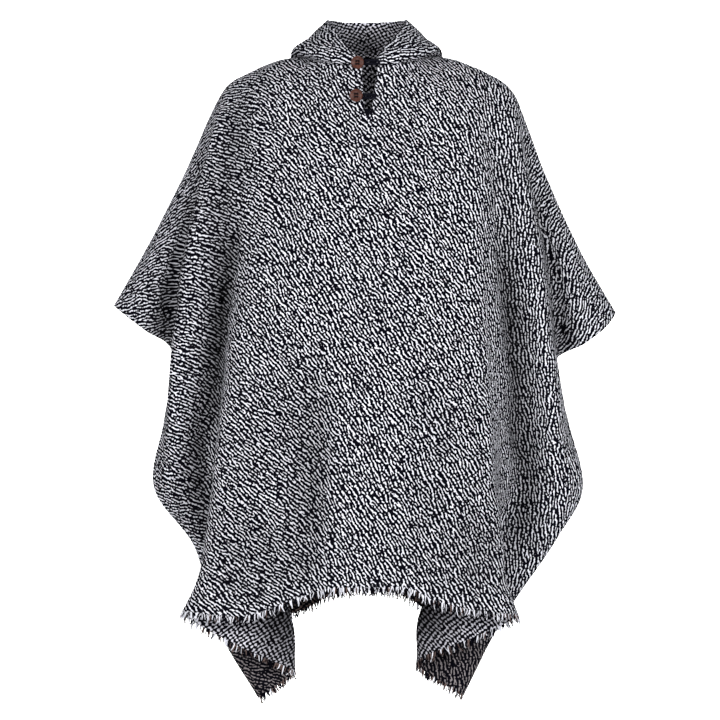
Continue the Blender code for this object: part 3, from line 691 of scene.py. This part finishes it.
def weave_on_flat(grid, flat, from_down):
    """Angle and rate of the weave on the flat cut, where from_down is its angle from the way down the cloth.

    The way down and the way across at right angles to it are a unit frame on the cloth. The weave's direction
    in that frame is carried to the flat cut by the grid's differences there. The rate is the length that the
    direction has there, over the flat area for each unit of cloth, so that the lines are as far apart on
    cloth that the flat cut stretches as elsewhere.
    """
    down, across = np.gradient(grid, axis=0), np.gradient(grid, axis=1)
    flat_down, flat_across = np.gradient(flat, axis=0), np.gradient(flat, axis=1)
    length = np.maximum(np.linalg.norm(down, axis=-1), SHORTEST_CHORD)
    lean = np.sum(across * down, axis=-1) / length
    width = np.sqrt(np.maximum(np.sum(across * across, axis=-1) - lean ** 2, SHORTEST_CHORD ** 2))
    along_across = np.sin(from_down) / width
    along_down = (np.cos(from_down) - along_across * lean) / length
    way = along_down[..., None] * flat_down + along_across[..., None] * flat_across
    angle = np.arctan2(way[..., 1], way[..., 0])
    angle = (angle - WEAVE_MIDDLE + math.pi / 2) % math.pi - math.pi / 2 + WEAVE_MIDDLE
    flat_area = np.abs(flat_down[..., 0] * flat_across[..., 1] - flat_down[..., 1] * flat_across[..., 0])
    rate = np.linalg.norm(way, axis=-1) * length * width / np.maximum(flat_area, SHORTEST_CHORD ** 2)
    return angle, np.clip(rate, *WEAVE_RATES)


def fine_places(steps, factor):
    """The place of every fine grid line among the rows or columns of a table, which are steps apart."""
    stretches = [np.linspace(i, i + 1, step * factor, endpoint=False) for i, step in enumerate(steps)]
    return np.concatenate(stretches + [[len(steps)]])


def brown_shade_share(outward):
    """Share of painted shade, tinted brown, over a panel's grid: in the front's hanging corners, or along the
    back's hem.
    """
    stations, lines = fine_places(DOWN_STEPS, FINER_DOWN), fine_places(ACROSS_STEPS, FINER_ACROSS)
    from_side = np.minimum(lines, len(ACROSS_STEPS) - lines)
    if outward < 0:
        down, across = BROWN_SHADE_CORNER
        return BROWN_SHADE_MOST * np.outer(np.clip(stations - down, 0, 1), np.clip(across - from_side, 0, 1))
    down, across = BROWN_SHADE_HEM
    return np.outer(np.clip(BROWN_SHADE_HASTE * (stations - down), 0, 1), np.clip(from_side - across, 0, 1))


@functools.lru_cache(maxsize=None)
def panel_cloth(outward):
    """Grid, normals, flat cut and values of a panel: the front if outward is -1, the back if it is 1."""
    stations = front_stations() if outward < 0 else back_stations()
    creases = FRONT_CREASES if outward < 0 else BACK_CREASES
    down_steps, across_steps = times(DOWN_STEPS, FINER_DOWN), times(ACROSS_STEPS, FINER_ACROSS)
    coarse = panel_surface(stations, 1, 1, outward)
    flat = flat_cut(coarse, cloth_mask(1, 1, outward < 0), outward > 0)
    flat = finer(flat, (FINER_DOWN,) * (len(flat) - 1), (FINER_ACROSS,) * (flat.shape[1] - 1))
    grid = panel_surface(stations, FINER_DOWN, FINER_ACROSS, outward)
    height, shade = crease_fields(flat, creases)
    height = (height + ripple_height(flat)) * seam_fade(grid)
    grid = grid + height[..., None] * grid_normals(grid, -outward)
    normals = grid_normals(grid, -outward)
    neck_first = sum(across_steps[:len(LEFT_FOLDS) - 1 - NECK_LINES]) + 1
    cuff_row = sum(down_steps[:CUFF_STATION])
    for seam in (np.s_[0, :neck_first], np.s_[0, -neck_first:], np.s_[cuff_row:, 0], np.s_[cuff_row:, -1]):
        normals[seam][..., 1] = 0.0
    normals[cuff_row:, 0, 0] -= SEAM_TURN
    normals[cuff_row:, -1, 0] += SEAM_TURN
    from_down = np.swapaxes(weave_from_down(stations, outward), 0, 1)[..., None]
    angle, rate = weave_on_flat(grid, flat, finer(from_down, down_steps, across_steps)[..., 0])
    values = {"weave_angle": angle, "weave_rate": rate, "brown": brown_shade_share(outward), "shade": shade}
    return grid, unit(normals), flat, values


def sewn_to_neck(grid, side):
    """A hood half's grid with its first column moved close to the nearest places on the panels' neck edges.

    The move fades out evenly over the first columns, up to the hood's belly.
    """
    middle = sum(HALF_STEPS) * FINER_ACROSS
    half = slice(None, middle + 1) if side < 0 else slice(middle + FINER_ACROSS, None)
    edges = (panel_cloth(-1)[0][0, half], panel_cloth(1)[0][0])
    fine_edges = [smooth_through(row[:, None], (NECK_FINER,) * (len(row) - 1))[:, 0] for row in edges]
    edge = np.concatenate(fine_edges)
    nearest = edge[np.linalg.norm(grid[:, :1] - edge, axis=-1).argmin(axis=1)]
    nearest[-1, 0] = 0.0
    fade = np.clip(1.0 - np.arange(grid.shape[1]) / (sum(HOOD_STEPS_UP[:NECK_FADE]) * HOOD_FINER), 0.0, 1.0)
    return grid + NECK_SHARE * fade[:, None] * (nearest - grid[:, 0])[:, None]


@functools.lru_cache(maxsize=None)
def hood_cloth(side):
    """Grid, normals, flat cut and values of a hood half: the left if side is -1, the right if it is 1."""
    grid = hood_surface(HOOD_FINER)
    if side > 0:
        grid = across_plane(grid, 0)
    grid = sewn_to_neck(grid, side)
    normals = grid_normals(grid, side)
    normals[-1, :, 0] = 0.0
    normals = unit(normals)
    flat = flat_cut(grid, whole(grid), side > 0)
    flat[..., 0] -= side * (side * flat[..., 0]).min()
    ripple = ripple_height(flat) * np.clip(np.abs(grid[..., 0]) / SEAM_FADE, 0.0, 1.0) * HOOD_RIPPLE
    grid = grid + ripple[..., None] * normals
    angle, rate = weave_on_flat(grid, flat, np.full(grid.shape[:2], HOOD_WEAVE * -side))
    plain = np.zeros(angle.shape)
    return grid, normals, flat, {"weave_angle": angle, "weave_rate": rate, "brown": plain, "shade": plain}


def shell_arrays(grid, normals, wall, kept, flipped):
    """Points and quads of a closed wall: the grid, the grid moved in, and a rim on every open edge."""
    count = grid.shape[0] * grid.shape[1]
    points = np.concatenate([grid.reshape(-1, 3), (grid - wall * normals).reshape(-1, 3)])
    outer = quads_of(kept)
    number = np.zeros(kept.shape, dtype=int)
    number[kept] = np.arange(len(outer))
    padded = np.pad(kept, 1)
    rows, columns = kept.shape
    walls = [outer, outer[:, ::-1] + count]
    for first, second, down, across in ((0, 1, 0, -1), (1, 2, 1, 0), (2, 3, 0, 1), (3, 0, -1, 0)):
        neighbour = padded[1 + down:1 + down + rows, 1 + across:1 + across + columns]
        edge = outer[number[kept & ~neighbour]]
        a, b = edge[:, first], edge[:, second]
        walls.append(np.stack([b, a, a + count, b + count], axis=1))
    quads = np.concatenate(walls)
    return points, quads[:, ::-1] if flipped else quads


def add_mesh(name, points, quads, material, values=None, flat=None):
    """A mesh object from arrays, with loose points dropped, point attributes and a flat map where given."""
    if not np.isfinite(points).all():
        raise ValueError(name + " has points that aren't numbers")
    old = bpy.data.objects.get(name)
    if old:
        bpy.data.objects.remove(old)
    used, quads = np.unique(quads, return_inverse=True)
    quads = quads.reshape(-1, 4)
    mesh = bpy.data.meshes.new(name)
    mesh.from_pydata(points[used].tolist(), [], quads.tolist())
    for key, value in (values or {}).items():
        mesh.attributes.new(key, "FLOAT", "POINT").data.foreach_set("value", value[used].astype(np.float32))
    if flat is not None:
        layer = mesh.uv_layers.new(name="flat_cut")
        layer.data.foreach_set("uv", flat[used][quads.ravel()].ravel().astype(np.float32))
    mesh.materials.append(material)
    mesh.shade_smooth()
    piece = bpy.data.objects.new(name, mesh)
    bpy.context.scene.collection.objects.link(piece)
    return piece


def dress(piece, slot, *nodes):
    """The piece rides on the frame, in place of the solids it stands for. Its slot is not used."""
    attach(piece, BODY)
    if nodes:
        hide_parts(*nodes)
    return piece


def add_cloth(name, cloth, wall, kept, flipped, material):
    """A cloth wall with its flat map and values, and one value more: 0 on the face and 1 on the reverse."""
    grid, normals, flat, values = cloth
    points, quads = shell_arrays(grid, normals, wall, kept, flipped)
    values = {key: np.tile(value.ravel(), 2) for key, value in values.items()}
    values["reverse"] = np.repeat([0.0, 1.0], len(points) // 2)
    return add_mesh(name, points, quads, material, values, np.tile(flat.reshape(-1, 2), (2, 1)))


class Finish:
    """A material under construction: adds nodes, and feeds sockets with values or with other sockets."""

    def __init__(self, name):
        self.material = bpy.data.materials.new(name)
        self.material.use_nodes = True
        self.tree = self.material.node_tree
        self.shader = self.tree.nodes["Principled BSDF"]

    def feed(self, socket, value):
        if isinstance(value, bpy.types.NodeSocket):
            self.tree.links.new(value, socket)
        else:
            socket.default_value = value

    def node(self, kind, values=(), **settings):
        """A node with its settings, and with values for its first sockets."""
        node = self.tree.nodes.new(kind)
        for key, value in settings.items():
            setattr(node, key, value)
        for socket, value in zip(node.inputs, values):
            self.feed(socket, value)
        return node

    def math(self, operation, *values):
        return self.node("ShaderNodeMath", values, operation=operation).outputs[0]

    def sum(self, *values):
        total = values[0]
        for value in values[1:]:
            total = self.math("ADD", total, value)
        return total

    def times(self, first, second):
        return self.math("MULTIPLY", first, second)

    def mixed(self, shares, *values):
        """The values times their shares, summed, and a last share that is added as it is."""
        parts = [self.times(value, share) for value, share in zip(values, shares)]
        return self.sum(*parts, *shares[len(values):])

    def noise(self, vector, scale, detail=0.0):
        """Soft noise between about -0.5 and 0.5."""
        node = self.node("ShaderNodeTexNoise")
        for key, value in (("Vector", vector), ("Scale", scale), ("Detail", detail)):
            self.feed(node.inputs[key], value)
        return self.math("SUBTRACT", node.outputs[0], 0.5)

    def step(self, value, low, high):
        """A smooth step from 0 at low to 1 at high."""
        node = self.node("ShaderNodeMapRange", (value, low, high), interpolation_type="SMOOTHSTEP")
        return node.outputs[0]

    def mix(self, factor, first, second):
        node = self.node("ShaderNodeMix", data_type="RGBA")
        for socket, value in zip(MIX_INPUTS, (factor, first, second)):
            self.feed(node.inputs[socket], value)
        return node.outputs[MIX_OUTPUT]

    def scaled(self, factor, colour):
        """A colour made darker by a factor from 0 to 1."""
        return self.mix(factor, BLACK, colour)

    def attribute(self, name):
        return self.node("ShaderNodeAttribute", attribute_name=name).outputs["Fac"]

    def flat_place(self):
        return self.node("ShaderNodeUVMap", uv_map="flat_cut").outputs[0]

    def object_place(self):
        return self.node("ShaderNodeTexCoord").outputs["Object"]

    def axes(self, vector):
        return self.node("ShaderNodeSeparateXYZ", (vector,)).outputs

    def bump(self, height, distance, strength):
        node = self.node("ShaderNodeBump")
        for key, value in (("Height", height), ("Distance", distance), ("Strength", strength)):
            self.feed(node.inputs[key], value)
        self.feed(self.shader.inputs["Normal"], node.outputs[0])

    def surface(self, **values):
        for key, value in values.items():
            self.feed(self.shader.inputs[key.replace("_", " ")], value)


def rgba(colour):
    return (*colour, 1.0)


def finish_by(make, *settings):
    """The material named after the function that makes it, made at its first use."""
    name = make.__name__
    return bpy.data.materials.get(name) or make(name, *settings)


def slub_twill(name, cloth):
    """The cloth: wavy, broken lines of light slub on a dark ground, and a dotted reverse.

    The lines are waves of a Gabor noise across the weave's angle, light where the wave, roughened by finer
    noises, is above its level. The reverse is light where two crossing sines plus a noise are above theirs.
    """
    finish = Finish(name)
    place = finish.flat_place()
    across, up, _ = finish.axes(place)
    turning = finish.times(finish.noise(place, TURN_SCALE), TURN_SHARE)
    turned = finish.sum(finish.attribute("weave_angle"), turning, math.pi / 2)
    rate = finish.times(finish.attribute("weave_rate"), TWILL_WAVES)
    cells = 1.0 / (TWILL_WAVES * cloth.twill_period)
    gabor = finish.node("ShaderNodeTexGabor", (place, cells, rate, 1.0, turned), gabor_type="2D")
    wave = finish.math("SINE", finish.times(gabor.outputs["Phase"], 2 * math.pi))
    rough = finish.noise(place, ROUGH_SCALE)
    slub = finish.step(finish.mixed(FACE_MIX, wave, rough, finish.noise(place, BREAK_SCALE)), *FACE_STEP)
    fibre = finish.noise(place, FIBRE_SCALE, FINE_DETAIL)
    worn = finish.mixed(WORN_MIX, finish.noise(place, YARN_SCALE), fibre)
    # the brown value is painted shade with a brown tint, in the front's hanging corners and along the back's
    # hem
    brown = finish.attribute("brown")
    light_yarn = finish.mix(brown, rgba(cloth.light_yarn), rgba(cloth.brown_yarn_and_shade))
    reverse_yarn = finish.mix(brown, rgba(cloth.reverse_yarn), rgba(cloth.brown_yarn_and_shade))
    face = finish.mix(slub, rgba(cloth.dark_yarn), finish.scaled(worn, light_yarn))

    wander = finish.times(finish.noise(place, WANDER_SCALE), WANDER_SHARE)
    out = finish.math("ABSOLUTE", across)
    lean, rise = math.sin(REVERSE_TURN), math.cos(REVERSE_TURN)
    turns = 2 * math.pi / cloth.reverse_period
    row_place = finish.sum(finish.times(up, rise), finish.times(out, -lean), wander)
    pick_place = finish.sum(finish.times(out, rise), finish.times(up, lean), wander)
    rows = finish.math("SINE", finish.times(row_place, turns))
    picks = finish.math("SINE", finish.times(pick_place, turns * PICKS_TO_ROWS))
    dot = finish.step(finish.mixed(REVERSE_MIX, rows, picks, rough), *REVERSE_STEP)
    back = finish.mix(dot, rgba(cloth.dark_yarn), finish.scaled(worn, reverse_yarn))

    weave = finish.mix(finish.attribute("reverse"), face, back)
    # the creases' painted shade darkens the weave, on top of slow random patches
    lit = finish.mixed(LIT_MIX, finish.noise(place, PATCH_SCALE), finish.attribute("shade"))
    finish.surface(Base_Color=finish.scaled(lit, weave), **MATT)
    finish.bump(finish.mixed(BUMP_MIX, slub, fibre), *CLOTH_BUMP)
    return finish.material


def yarn_ends(name, cloth):
    """Fringe yarn: dark, light or brown by the strand's tone, with a fine twist along it."""
    finish = Finish(name)
    tone = finish.attribute("tone")
    twist = finish.noise(finish.object_place(), TWIST_SCALE, FINE_DETAIL)
    light = finish.scaled(finish.mixed(TWIST_MIX, twist), rgba(cloth.light_yarn))
    colour = finish.mix(finish.step(tone, *LIGHT_STEP), rgba(cloth.dark_yarn), light)
    colour = finish.mix(finish.step(tone, *BROWN_STEP), colour, rgba(cloth.brown_yarn_and_shade))
    finish.surface(Base_Color=colour, **MATT)
    finish.bump(twist, *FINE_BUMP)
    return finish.material


def turned_shell(name, fastenings):
    """Brown shell: streaks along it, painted near-black shade in the sewing holes' dents, satin."""
    finish = Finish(name)
    place, origin = finish.object_place(), (0.0, 0.0, 0.0)
    stretched = finish.node("ShaderNodeMapping", (place, origin, STREAK_TURN, STREAK_STRETCH))
    streak = finish.noise(stretched.outputs[0], 1.0, STREAK_DETAIL)
    colour = finish.scaled(finish.mixed(STREAK_MIX, streak), rgba(fastenings.shell))
    # painted shade: the hole value colours the sewing-hole dents near black
    colour = finish.mix(finish.attribute("hole"), colour, HOLE_SHADE_COLOUR)
    finish.surface(Base_Color=colour, **SATIN)
    finish.bump(streak, *STREAK_BUMP)
    return finish.material


def rolled_cord(name, fastenings):
    """Dark cloth cord and thread, matt, with a fine grain."""
    finish = Finish(name)
    grain = finish.noise(finish.object_place(), GRAIN_SCALE, FINE_DETAIL)
    colour = finish.scaled(finish.mixed(GRAIN_MIX, grain), rgba(fastenings.cord))
    finish.surface(Base_Color=colour, **CORDED)
    finish.bump(grain, *FINE_BUMP)
    return finish.material


def make_fringe(name, node, outward, wall, fringe, material):
    """Yarn ends along one hem: four-sided tapering tubes, each bent along P(t) = root + L (t d + t^2 c).

    L is the strand's length, d its first direction, down the cloth and leaning at random, and c its bend.
    """
    grid, normals, *_ = panel_cloth(outward)
    hem, out = grid[-1], normals[-1]
    drop = unit(unit(hem - grid[-1 - FINER_DOWN]) - np.array(UP))
    along_hem = np.concatenate([[0.0], np.cumsum(np.linalg.norm(np.diff(hem, axis=0), axis=1))])
    count = int(along_hem[-1] / fringe.pitch)
    rng = np.random.default_rng(FRINGE_SEED + outward)
    stops = np.linspace(fringe.pitch, along_hem[-1] - fringe.pitch, count)
    stops += rng.uniform(-0.5, 0.5, count) * fringe.pitch

    def at(values):
        return np.stack([np.interp(stops, along_hem, values[:, axis]) for axis in range(3)], axis=1)

    root = at(hem - wall * rng.uniform(*STRAND_DEPTHS) * out) - at(drop) * FRINGE_ROOT
    out, down, along = unit(at(out)), unit(at(drop)), unit(at(np.gradient(hem, axis=0)))
    lean, tilt, bend = rng.normal(0.0, STRAND_SPREADS, (count, 3)).T[..., None]
    way = unit(down + lean * along + tilt * out)
    length = (fringe.length * rng.uniform(*STRAND_LENGTHS, count))[:, None, None]
    radius = (fringe.radius * rng.uniform(*STRAND_RADII, count))[:, None, None, None]
    t = np.linspace(0.0, 1.0, FRINGE_RINGS)[None, :, None]
    path = root[:, None] + length * (t * way[:, None] + t * t * (bend * along)[:, None])
    turn = np.arange(STRAND_SIDES) * 2 * math.pi / STRAND_SIDES
    ring = along[:, None] * np.cos(turn)[None, :, None] + out[:, None] * np.sin(turn)[None, :, None]
    points = path[:, :, None] + radius * (1.0 - STRAND_TAPER * t[..., None]) * ring[:, None]
    size = FRINGE_RINGS * STRAND_SIDES
    quads = capped(tube_quads(FRINGE_RINGS, STRAND_SIDES), size)
    if outward < 0:
        quads = quads[:, ::-1]
    quads = (quads[None] + (np.arange(count) * size)[:, None, None]).reshape(-1, 4)
    # the back's and the tails' darker strand tones are partly painted shade
    tone = rng.choice(3, count, p=FRINGE_SHARES[outward])
    tone = np.where(root[:, 2] < TAIL_TOP, rng.choice(3, count, p=TAIL_SHADE_SHARES), tone)
    piece = add_mesh(name, points.reshape(-1, 3), quads, material, {"tone": np.repeat(tone, size)})
    return dress(piece, "fringe", node)


def tube_along(path, radius, sides, closed, upright):
    """Points and quads of a tube along a path that is nowhere parallel to the upright direction.

    A ring is the path's place plus radius times (cos a times the direction across the path and the upright,
    sin a times the direction across both).
    """
    way = np.roll(path, -1, axis=0) - np.roll(path, 1, axis=0) if closed else np.gradient(path, axis=0)
    across = unit(np.cross(way, upright))
    over = unit(np.cross(across, way))
    turn = np.arange(sides) * 2 * math.pi / sides
    ring = across[:, None] * np.cos(turn)[:, None] + over[:, None] * np.sin(turn)[:, None]
    points = path[:, None] + radius * ring
    return points.reshape(-1, 3), tube_quads(len(path), sides, closed)


def close_poles(mesh):
    """The first and last rings of a turned shape, each of them at one place, become single points."""
    turned = bmesh.new()
    turned.from_mesh(mesh)
    bmesh.ops.remove_doubles(turned, verts=turned.verts, dist=POLE_GAP)
    turned.to_mesh(mesh)
    turned.free()


def box_of(node):
    """Centre and half sizes of a solid's box."""
    low, high = (np.array(corner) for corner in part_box(node))
    return (low + high) / 2, (high - low) / 2


def make_button(name, node, fastenings, material):
    """A turned button: a profile of radius and height swept round, dented by four round sewing holes.

    A hole lowers the face by its depth times exp(-(d / r)^4), where d is the distance from the hole's centre.
    """
    centre, (radius, half, _) = box_of(node)
    share = np.linspace(0.0, 1.0, BUTTON_RINGS)
    knots = np.array([row[1:] for row in BUTTON_PROFILE])
    stops = np.linspace(0.0, 1.0, len(knots))
    r = radius * np.interp(share, stops, knots[:, 0])[:, None]
    height = half * np.interp(share, stops, knots[:, 1])[:, None]
    turn = np.linspace(0.0, 2 * math.pi, BUTTON_SIDES, endpoint=False)[None]
    x, z = r * np.cos(turn), r * np.sin(turn)
    reach = fastenings.hole_spread / math.sqrt(2)
    nearest = np.hypot(np.abs(x) - reach, np.abs(z) - reach)
    hole = np.exp(-(nearest / fastenings.hole_radius) ** 4) * (height > 0)
    y = -(height + 0 * turn) + hole * HOLE_DEPTH
    points = centre + np.stack([x, y, z], axis=-1)
    quads = tube_quads(BUTTON_RINGS, BUTTON_SIDES)
    piece = add_mesh(name, points.reshape(-1, 3), quads, material, {"hole": hole.ravel()})
    close_poles(piece.data)
    return dress(piece, "shell", node)


def make_loop(name, node, fastenings, material):
    """A loop of rolled cloth: a tube along a flattened ring, two straight runs with round ends."""
    centre, half = box_of(node)
    rise = half[2] - fastenings.cord_radius
    run = half[0] - fastenings.cord_radius - rise
    turn = np.linspace(0.0, 2 * math.pi, LOOP_POINTS, endpoint=False)
    swing = np.cos(turn)
    x = run * np.sign(swing) * np.minimum(1.0, np.abs(swing) * LOOP_SHARPNESS) + rise * swing
    path = centre + np.stack([x, 0 * turn, rise * np.sin(turn)], axis=1)
    points, quads = tube_along(path, fastenings.cord_radius, LOOP_SIDES, True, TOWARDS_FRONT)
    return dress(add_mesh(name, points, quads, material), "cord", node)


def make_stitches(name, fastenings, material):
    """Sewing thread: two bars over each button, a shank behind it, and a bar tack at the end of the slit."""
    grid, normals, *_ = panel_cloth(-1)
    pieces, radius = [], fastenings.thread_radius
    rise = np.sin(np.linspace(0.0, math.pi, STITCH_POINTS))
    along = np.linspace(-1.0, 1.0, STITCH_POINTS)
    reach = fastenings.hole_spread / math.sqrt(2)
    for part in FASTENINGS:
        centre, half = box_of("button_" + part)
        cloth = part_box("loop_" + part)[1][1]
        for side in (-1, 1):
            bar = np.stack([reach * along, -(BUTTON_FACE + radius) * rise, side * reach + 0 * along], axis=1)
            pieces.append((centre + bar, radius, TOWARDS_FRONT))
        shank = np.linspace(centre[1] + half[1], cloth + SHANK_SUNK, STITCH_POINTS)
        path = np.stack([centre[0] + 0 * shank, shank, centre[2] + 0 * shank], axis=1)
        pieces.append((path, SHANK_THREADS * radius, UP))
    row, middle = sum(DOWN_STEPS[:SLIT_STATION]) * FINER_DOWN, grid.shape[1] // 2
    tack, out = grid[row, middle], normals[row, middle]
    for step in range(TACK_STITCHES):
        drop = (step - TACK_STITCHES / 2) * TACK_PITCH * radius
        bar = np.stack([TACK_HALF * along, 0 * along, drop + 0 * along], axis=1)
        lift = (TACK_ARCH * rise[:, None] - TACK_SUNK) * radius * out
        pieces.append((tack + bar + lift, radius, TOWARDS_FRONT))
    points, quads, first = [], [], 0
    for path, thick, upright in pieces:
        tube, faces = tube_along(path, thick, THREAD_SIDES, False, upright)
        points.append(tube)
        quads.append(capped(faces, len(tube)) + first)
        first += len(tube)
    return dress(add_mesh(name, np.concatenate(points), np.concatenate(quads), material), "cord")


def make_floor(gap):
    """A pale floor that curves up into a wall."""
    lowest = CAD_BOX[0][2] - gap
    turn = np.linspace(0.0, math.pi / 2, BEND_POINTS)
    y = np.concatenate([[-WALL_HALF], FLOOR_START + FLOOR_BEND * np.sin(turn), [FLOOR_START + FLOOR_BEND]])
    z = np.concatenate([[lowest], lowest + FLOOR_BEND * (1 - np.cos(turn)), [lowest + WALL_HEIGHT]])
    x = np.linspace(-WALL_HALF, WALL_HALF, FLOOR_COLUMNS)
    grid = np.stack(np.broadcast_arrays(x[None, :], y[:, None], z[:, None]), axis=-1)
    finish = Finish("pale_floor")
    grain = finish.noise(finish.object_place(), FLOOR_SCALE, FLOOR_DETAIL)
    colour = finish.scaled(finish.mixed(FLOOR_MIX, grain), FLOOR_COLOUR)
    finish.surface(Base_Color=colour, Roughness=FLOOR_ROUGHNESS)
    quads = quads_of(whole(grid))[:, ::-1]
    add_mesh("floor", grid.reshape(-1, 3), quads, finish.material)


def make_lights(scene):
    """The soft lights of the table, and a faint white world."""
    world = bpy.data.worlds.new("studio")
    world.use_nodes = True
    sky = world.node_tree.nodes["Background"].inputs
    sky["Color"].default_value = WHITE
    sky["Strength"].default_value = WORLD_STRENGTH
    scene.world = world
    for name, place, target, power, size, spread in LIGHTS:
        lamp = bpy.data.lights.new(name, "AREA")
        lamp.energy = power
        lamp.size = size
        lamp.spread = math.radians(spread)
        light = bpy.data.objects.new(name, lamp)
        light.visible_camera = False
        light.location = place
        way = np.array(target) - np.array(place)
        level = math.hypot(way[0], way[1])
        light.rotation_euler = (math.atan2(level, -way[2]), 0.0, math.atan2(-way[0], way[1]))
        scene.collection.objects.link(light)


def make_camera(scene, distance, view_width):
    """The camera of the photo, level and square to the front."""
    scene.view_settings.view_transform = "Standard"
    lens = bpy.data.cameras.new("camera")
    lens.sensor_width = SENSOR_WIDTH
    lens.lens = lens.sensor_width * distance / view_width
    camera = bpy.data.objects.new("camera", lens)
    camera.location = (CAMERA_X, -distance, CAMERA_Z)
    camera.rotation_euler = (math.pi / 2, 0.0, 0.0)
    scene.collection.objects.link(camera)
    scene.camera = camera


class PONCHO_OT_panels(bpy.types.Operator):
    """Make the front and back panels"""

    bl_idname = "poncho.panels"
    bl_label = "Panels"

    def execute(self, context):
        cloth = context.scene.poncho_cloth
        material = finish_by(slub_twill, cloth)
        for name, node, outward in (("front_cloth", "front_panel", -1), ("back_cloth", "back_panel", 1)):
            kept = cloth_mask(FINER_DOWN, FINER_ACROSS, outward < 0)
            piece = add_cloth(name, panel_cloth(outward), cloth.wall, kept, outward > 0, material)
            dress(piece, "cloth", node)
        return {"FINISHED"}


class PONCHO_OT_hood(bpy.types.Operator):
    """Make the two halves of the hood"""

    bl_idname = "poncho.hood"
    bl_label = "Hood"

    def execute(self, context):
        cloth = context.scene.poncho_cloth
        material = finish_by(slub_twill, cloth)
        for name, node, side in (("hood_left_cloth", "hood_left", -1), ("hood_right_cloth", "hood_right", 1)):
            half = hood_cloth(side)
            piece = add_cloth(name, half, cloth.wall, whole(half[0]), side < 0, material)
            dress(piece, "cloth", node)
        return {"FINISHED"}


class PONCHO_OT_fringe(bpy.types.Operator):
    """Make the yarn ends along both hems"""

    bl_idname = "poncho.fringe"
    bl_label = "Fringe"

    def execute(self, context):
        cloth, fringe = context.scene.poncho_cloth, context.scene.poncho_fringe
        material = finish_by(yarn_ends, cloth)
        for part, outward in (("front", -1), ("back", 1)):
            yarn = make_fringe(part + "_fringe_yarn", part + "_fringe", outward, cloth.wall, fringe, material)
        return {"FINISHED"}


class PONCHO_OT_buttons(bpy.types.Operator):
    """Make the two buttons"""

    bl_idname = "poncho.buttons"
    bl_label = "Buttons"

    def execute(self, context):
        fastenings = context.scene.poncho_fastenings
        material = finish_by(turned_shell, fastenings)
        for part in FASTENINGS:
            make_button("button_" + part + "_disc", "button_" + part, fastenings, material)
        return {"FINISHED"}


class PONCHO_OT_loops(bpy.types.Operator):
    """Make the two loops"""

    bl_idname = "poncho.loops"
    bl_label = "Loops"

    def execute(self, context):
        fastenings = context.scene.poncho_fastenings
        material = finish_by(rolled_cord, fastenings)
        for part in FASTENINGS:
            make_loop("loop_" + part + "_cord", "loop_" + part, fastenings, material)
        return {"FINISHED"}


class PONCHO_OT_stitches(bpy.types.Operator):
    """Make the sewing thread of the buttons and the bar tack"""

    bl_idname = "poncho.stitches"
    bl_label = "Stitches"

    def execute(self, context):
        fastenings = context.scene.poncho_fastenings
        make_stitches("stitches", fastenings, finish_by(rolled_cord, fastenings))
        return {"FINISHED"}


class PONCHO_OT_stage(bpy.types.Operator):
    """Make the floor, the lights and the camera"""

    bl_idname = "poncho.stage"
    bl_label = "Stage"

    def execute(self, context):
        stage = context.scene.poncho_stage
        make_floor(stage.floor_gap)
        make_lights(context.scene)
        make_camera(context.scene, stage.camera_distance, stage.view_width)
        return {"FINISHED"}


PIECE_OPERATORS = (PONCHO_OT_panels, PONCHO_OT_hood, PONCHO_OT_fringe, PONCHO_OT_buttons, PONCHO_OT_loops,
                   PONCHO_OT_stitches, PONCHO_OT_stage)
SETTINGS = (
    ("poncho_cloth", PonchoCloth),
    ("poncho_fringe", PonchoFringe),
    ("poncho_fastenings", PonchoFastenings),
    ("poncho_stage", PonchoStage),
)


class PONCHO_PT_sidebar(bpy.types.Panel):
    """Lists the settings and the pieces"""

    bl_idname = "PONCHO_PT_sidebar"
    bl_label = "Poncho"
    bl_space_type = "VIEW_3D"
    bl_region_type = "UI"
    bl_category = "Poncho"

    def draw(self, context):
        for name, group in SETTINGS:
            box = self.layout.box()
            for key in group.__annotations__:
                box.prop(getattr(context.scene, name), key)
        for operator in PIECE_OPERATORS:
            self.layout.operator(operator.bl_idname)


CLASSES = tuple(group for _, group in SETTINGS) + PIECE_OPERATORS + (PONCHO_PT_sidebar,)


def register():
    for item in CLASSES:
        bpy.utils.register_class(item)
    for name, group in SETTINGS:
        setattr(bpy.types.Scene, name, bpy.props.PointerProperty(type=group))


def unregister():
    for name, _ in SETTINGS:
        delattr(bpy.types.Scene, name)
    for item in reversed(CLASSES):
        bpy.utils.unregister_class(item)


def main():
    """Make every piece in order."""
    register()
    bpy.ops.poncho.panels()
    bpy.ops.poncho.hood()
    bpy.ops.poncho.fringe()
    bpy.ops.poncho.buttons()
    bpy.ops.poncho.loops()
    bpy.ops.poncho.stitches()
    bpy.ops.poncho.stage()


if __name__ == "__main__":
    main()
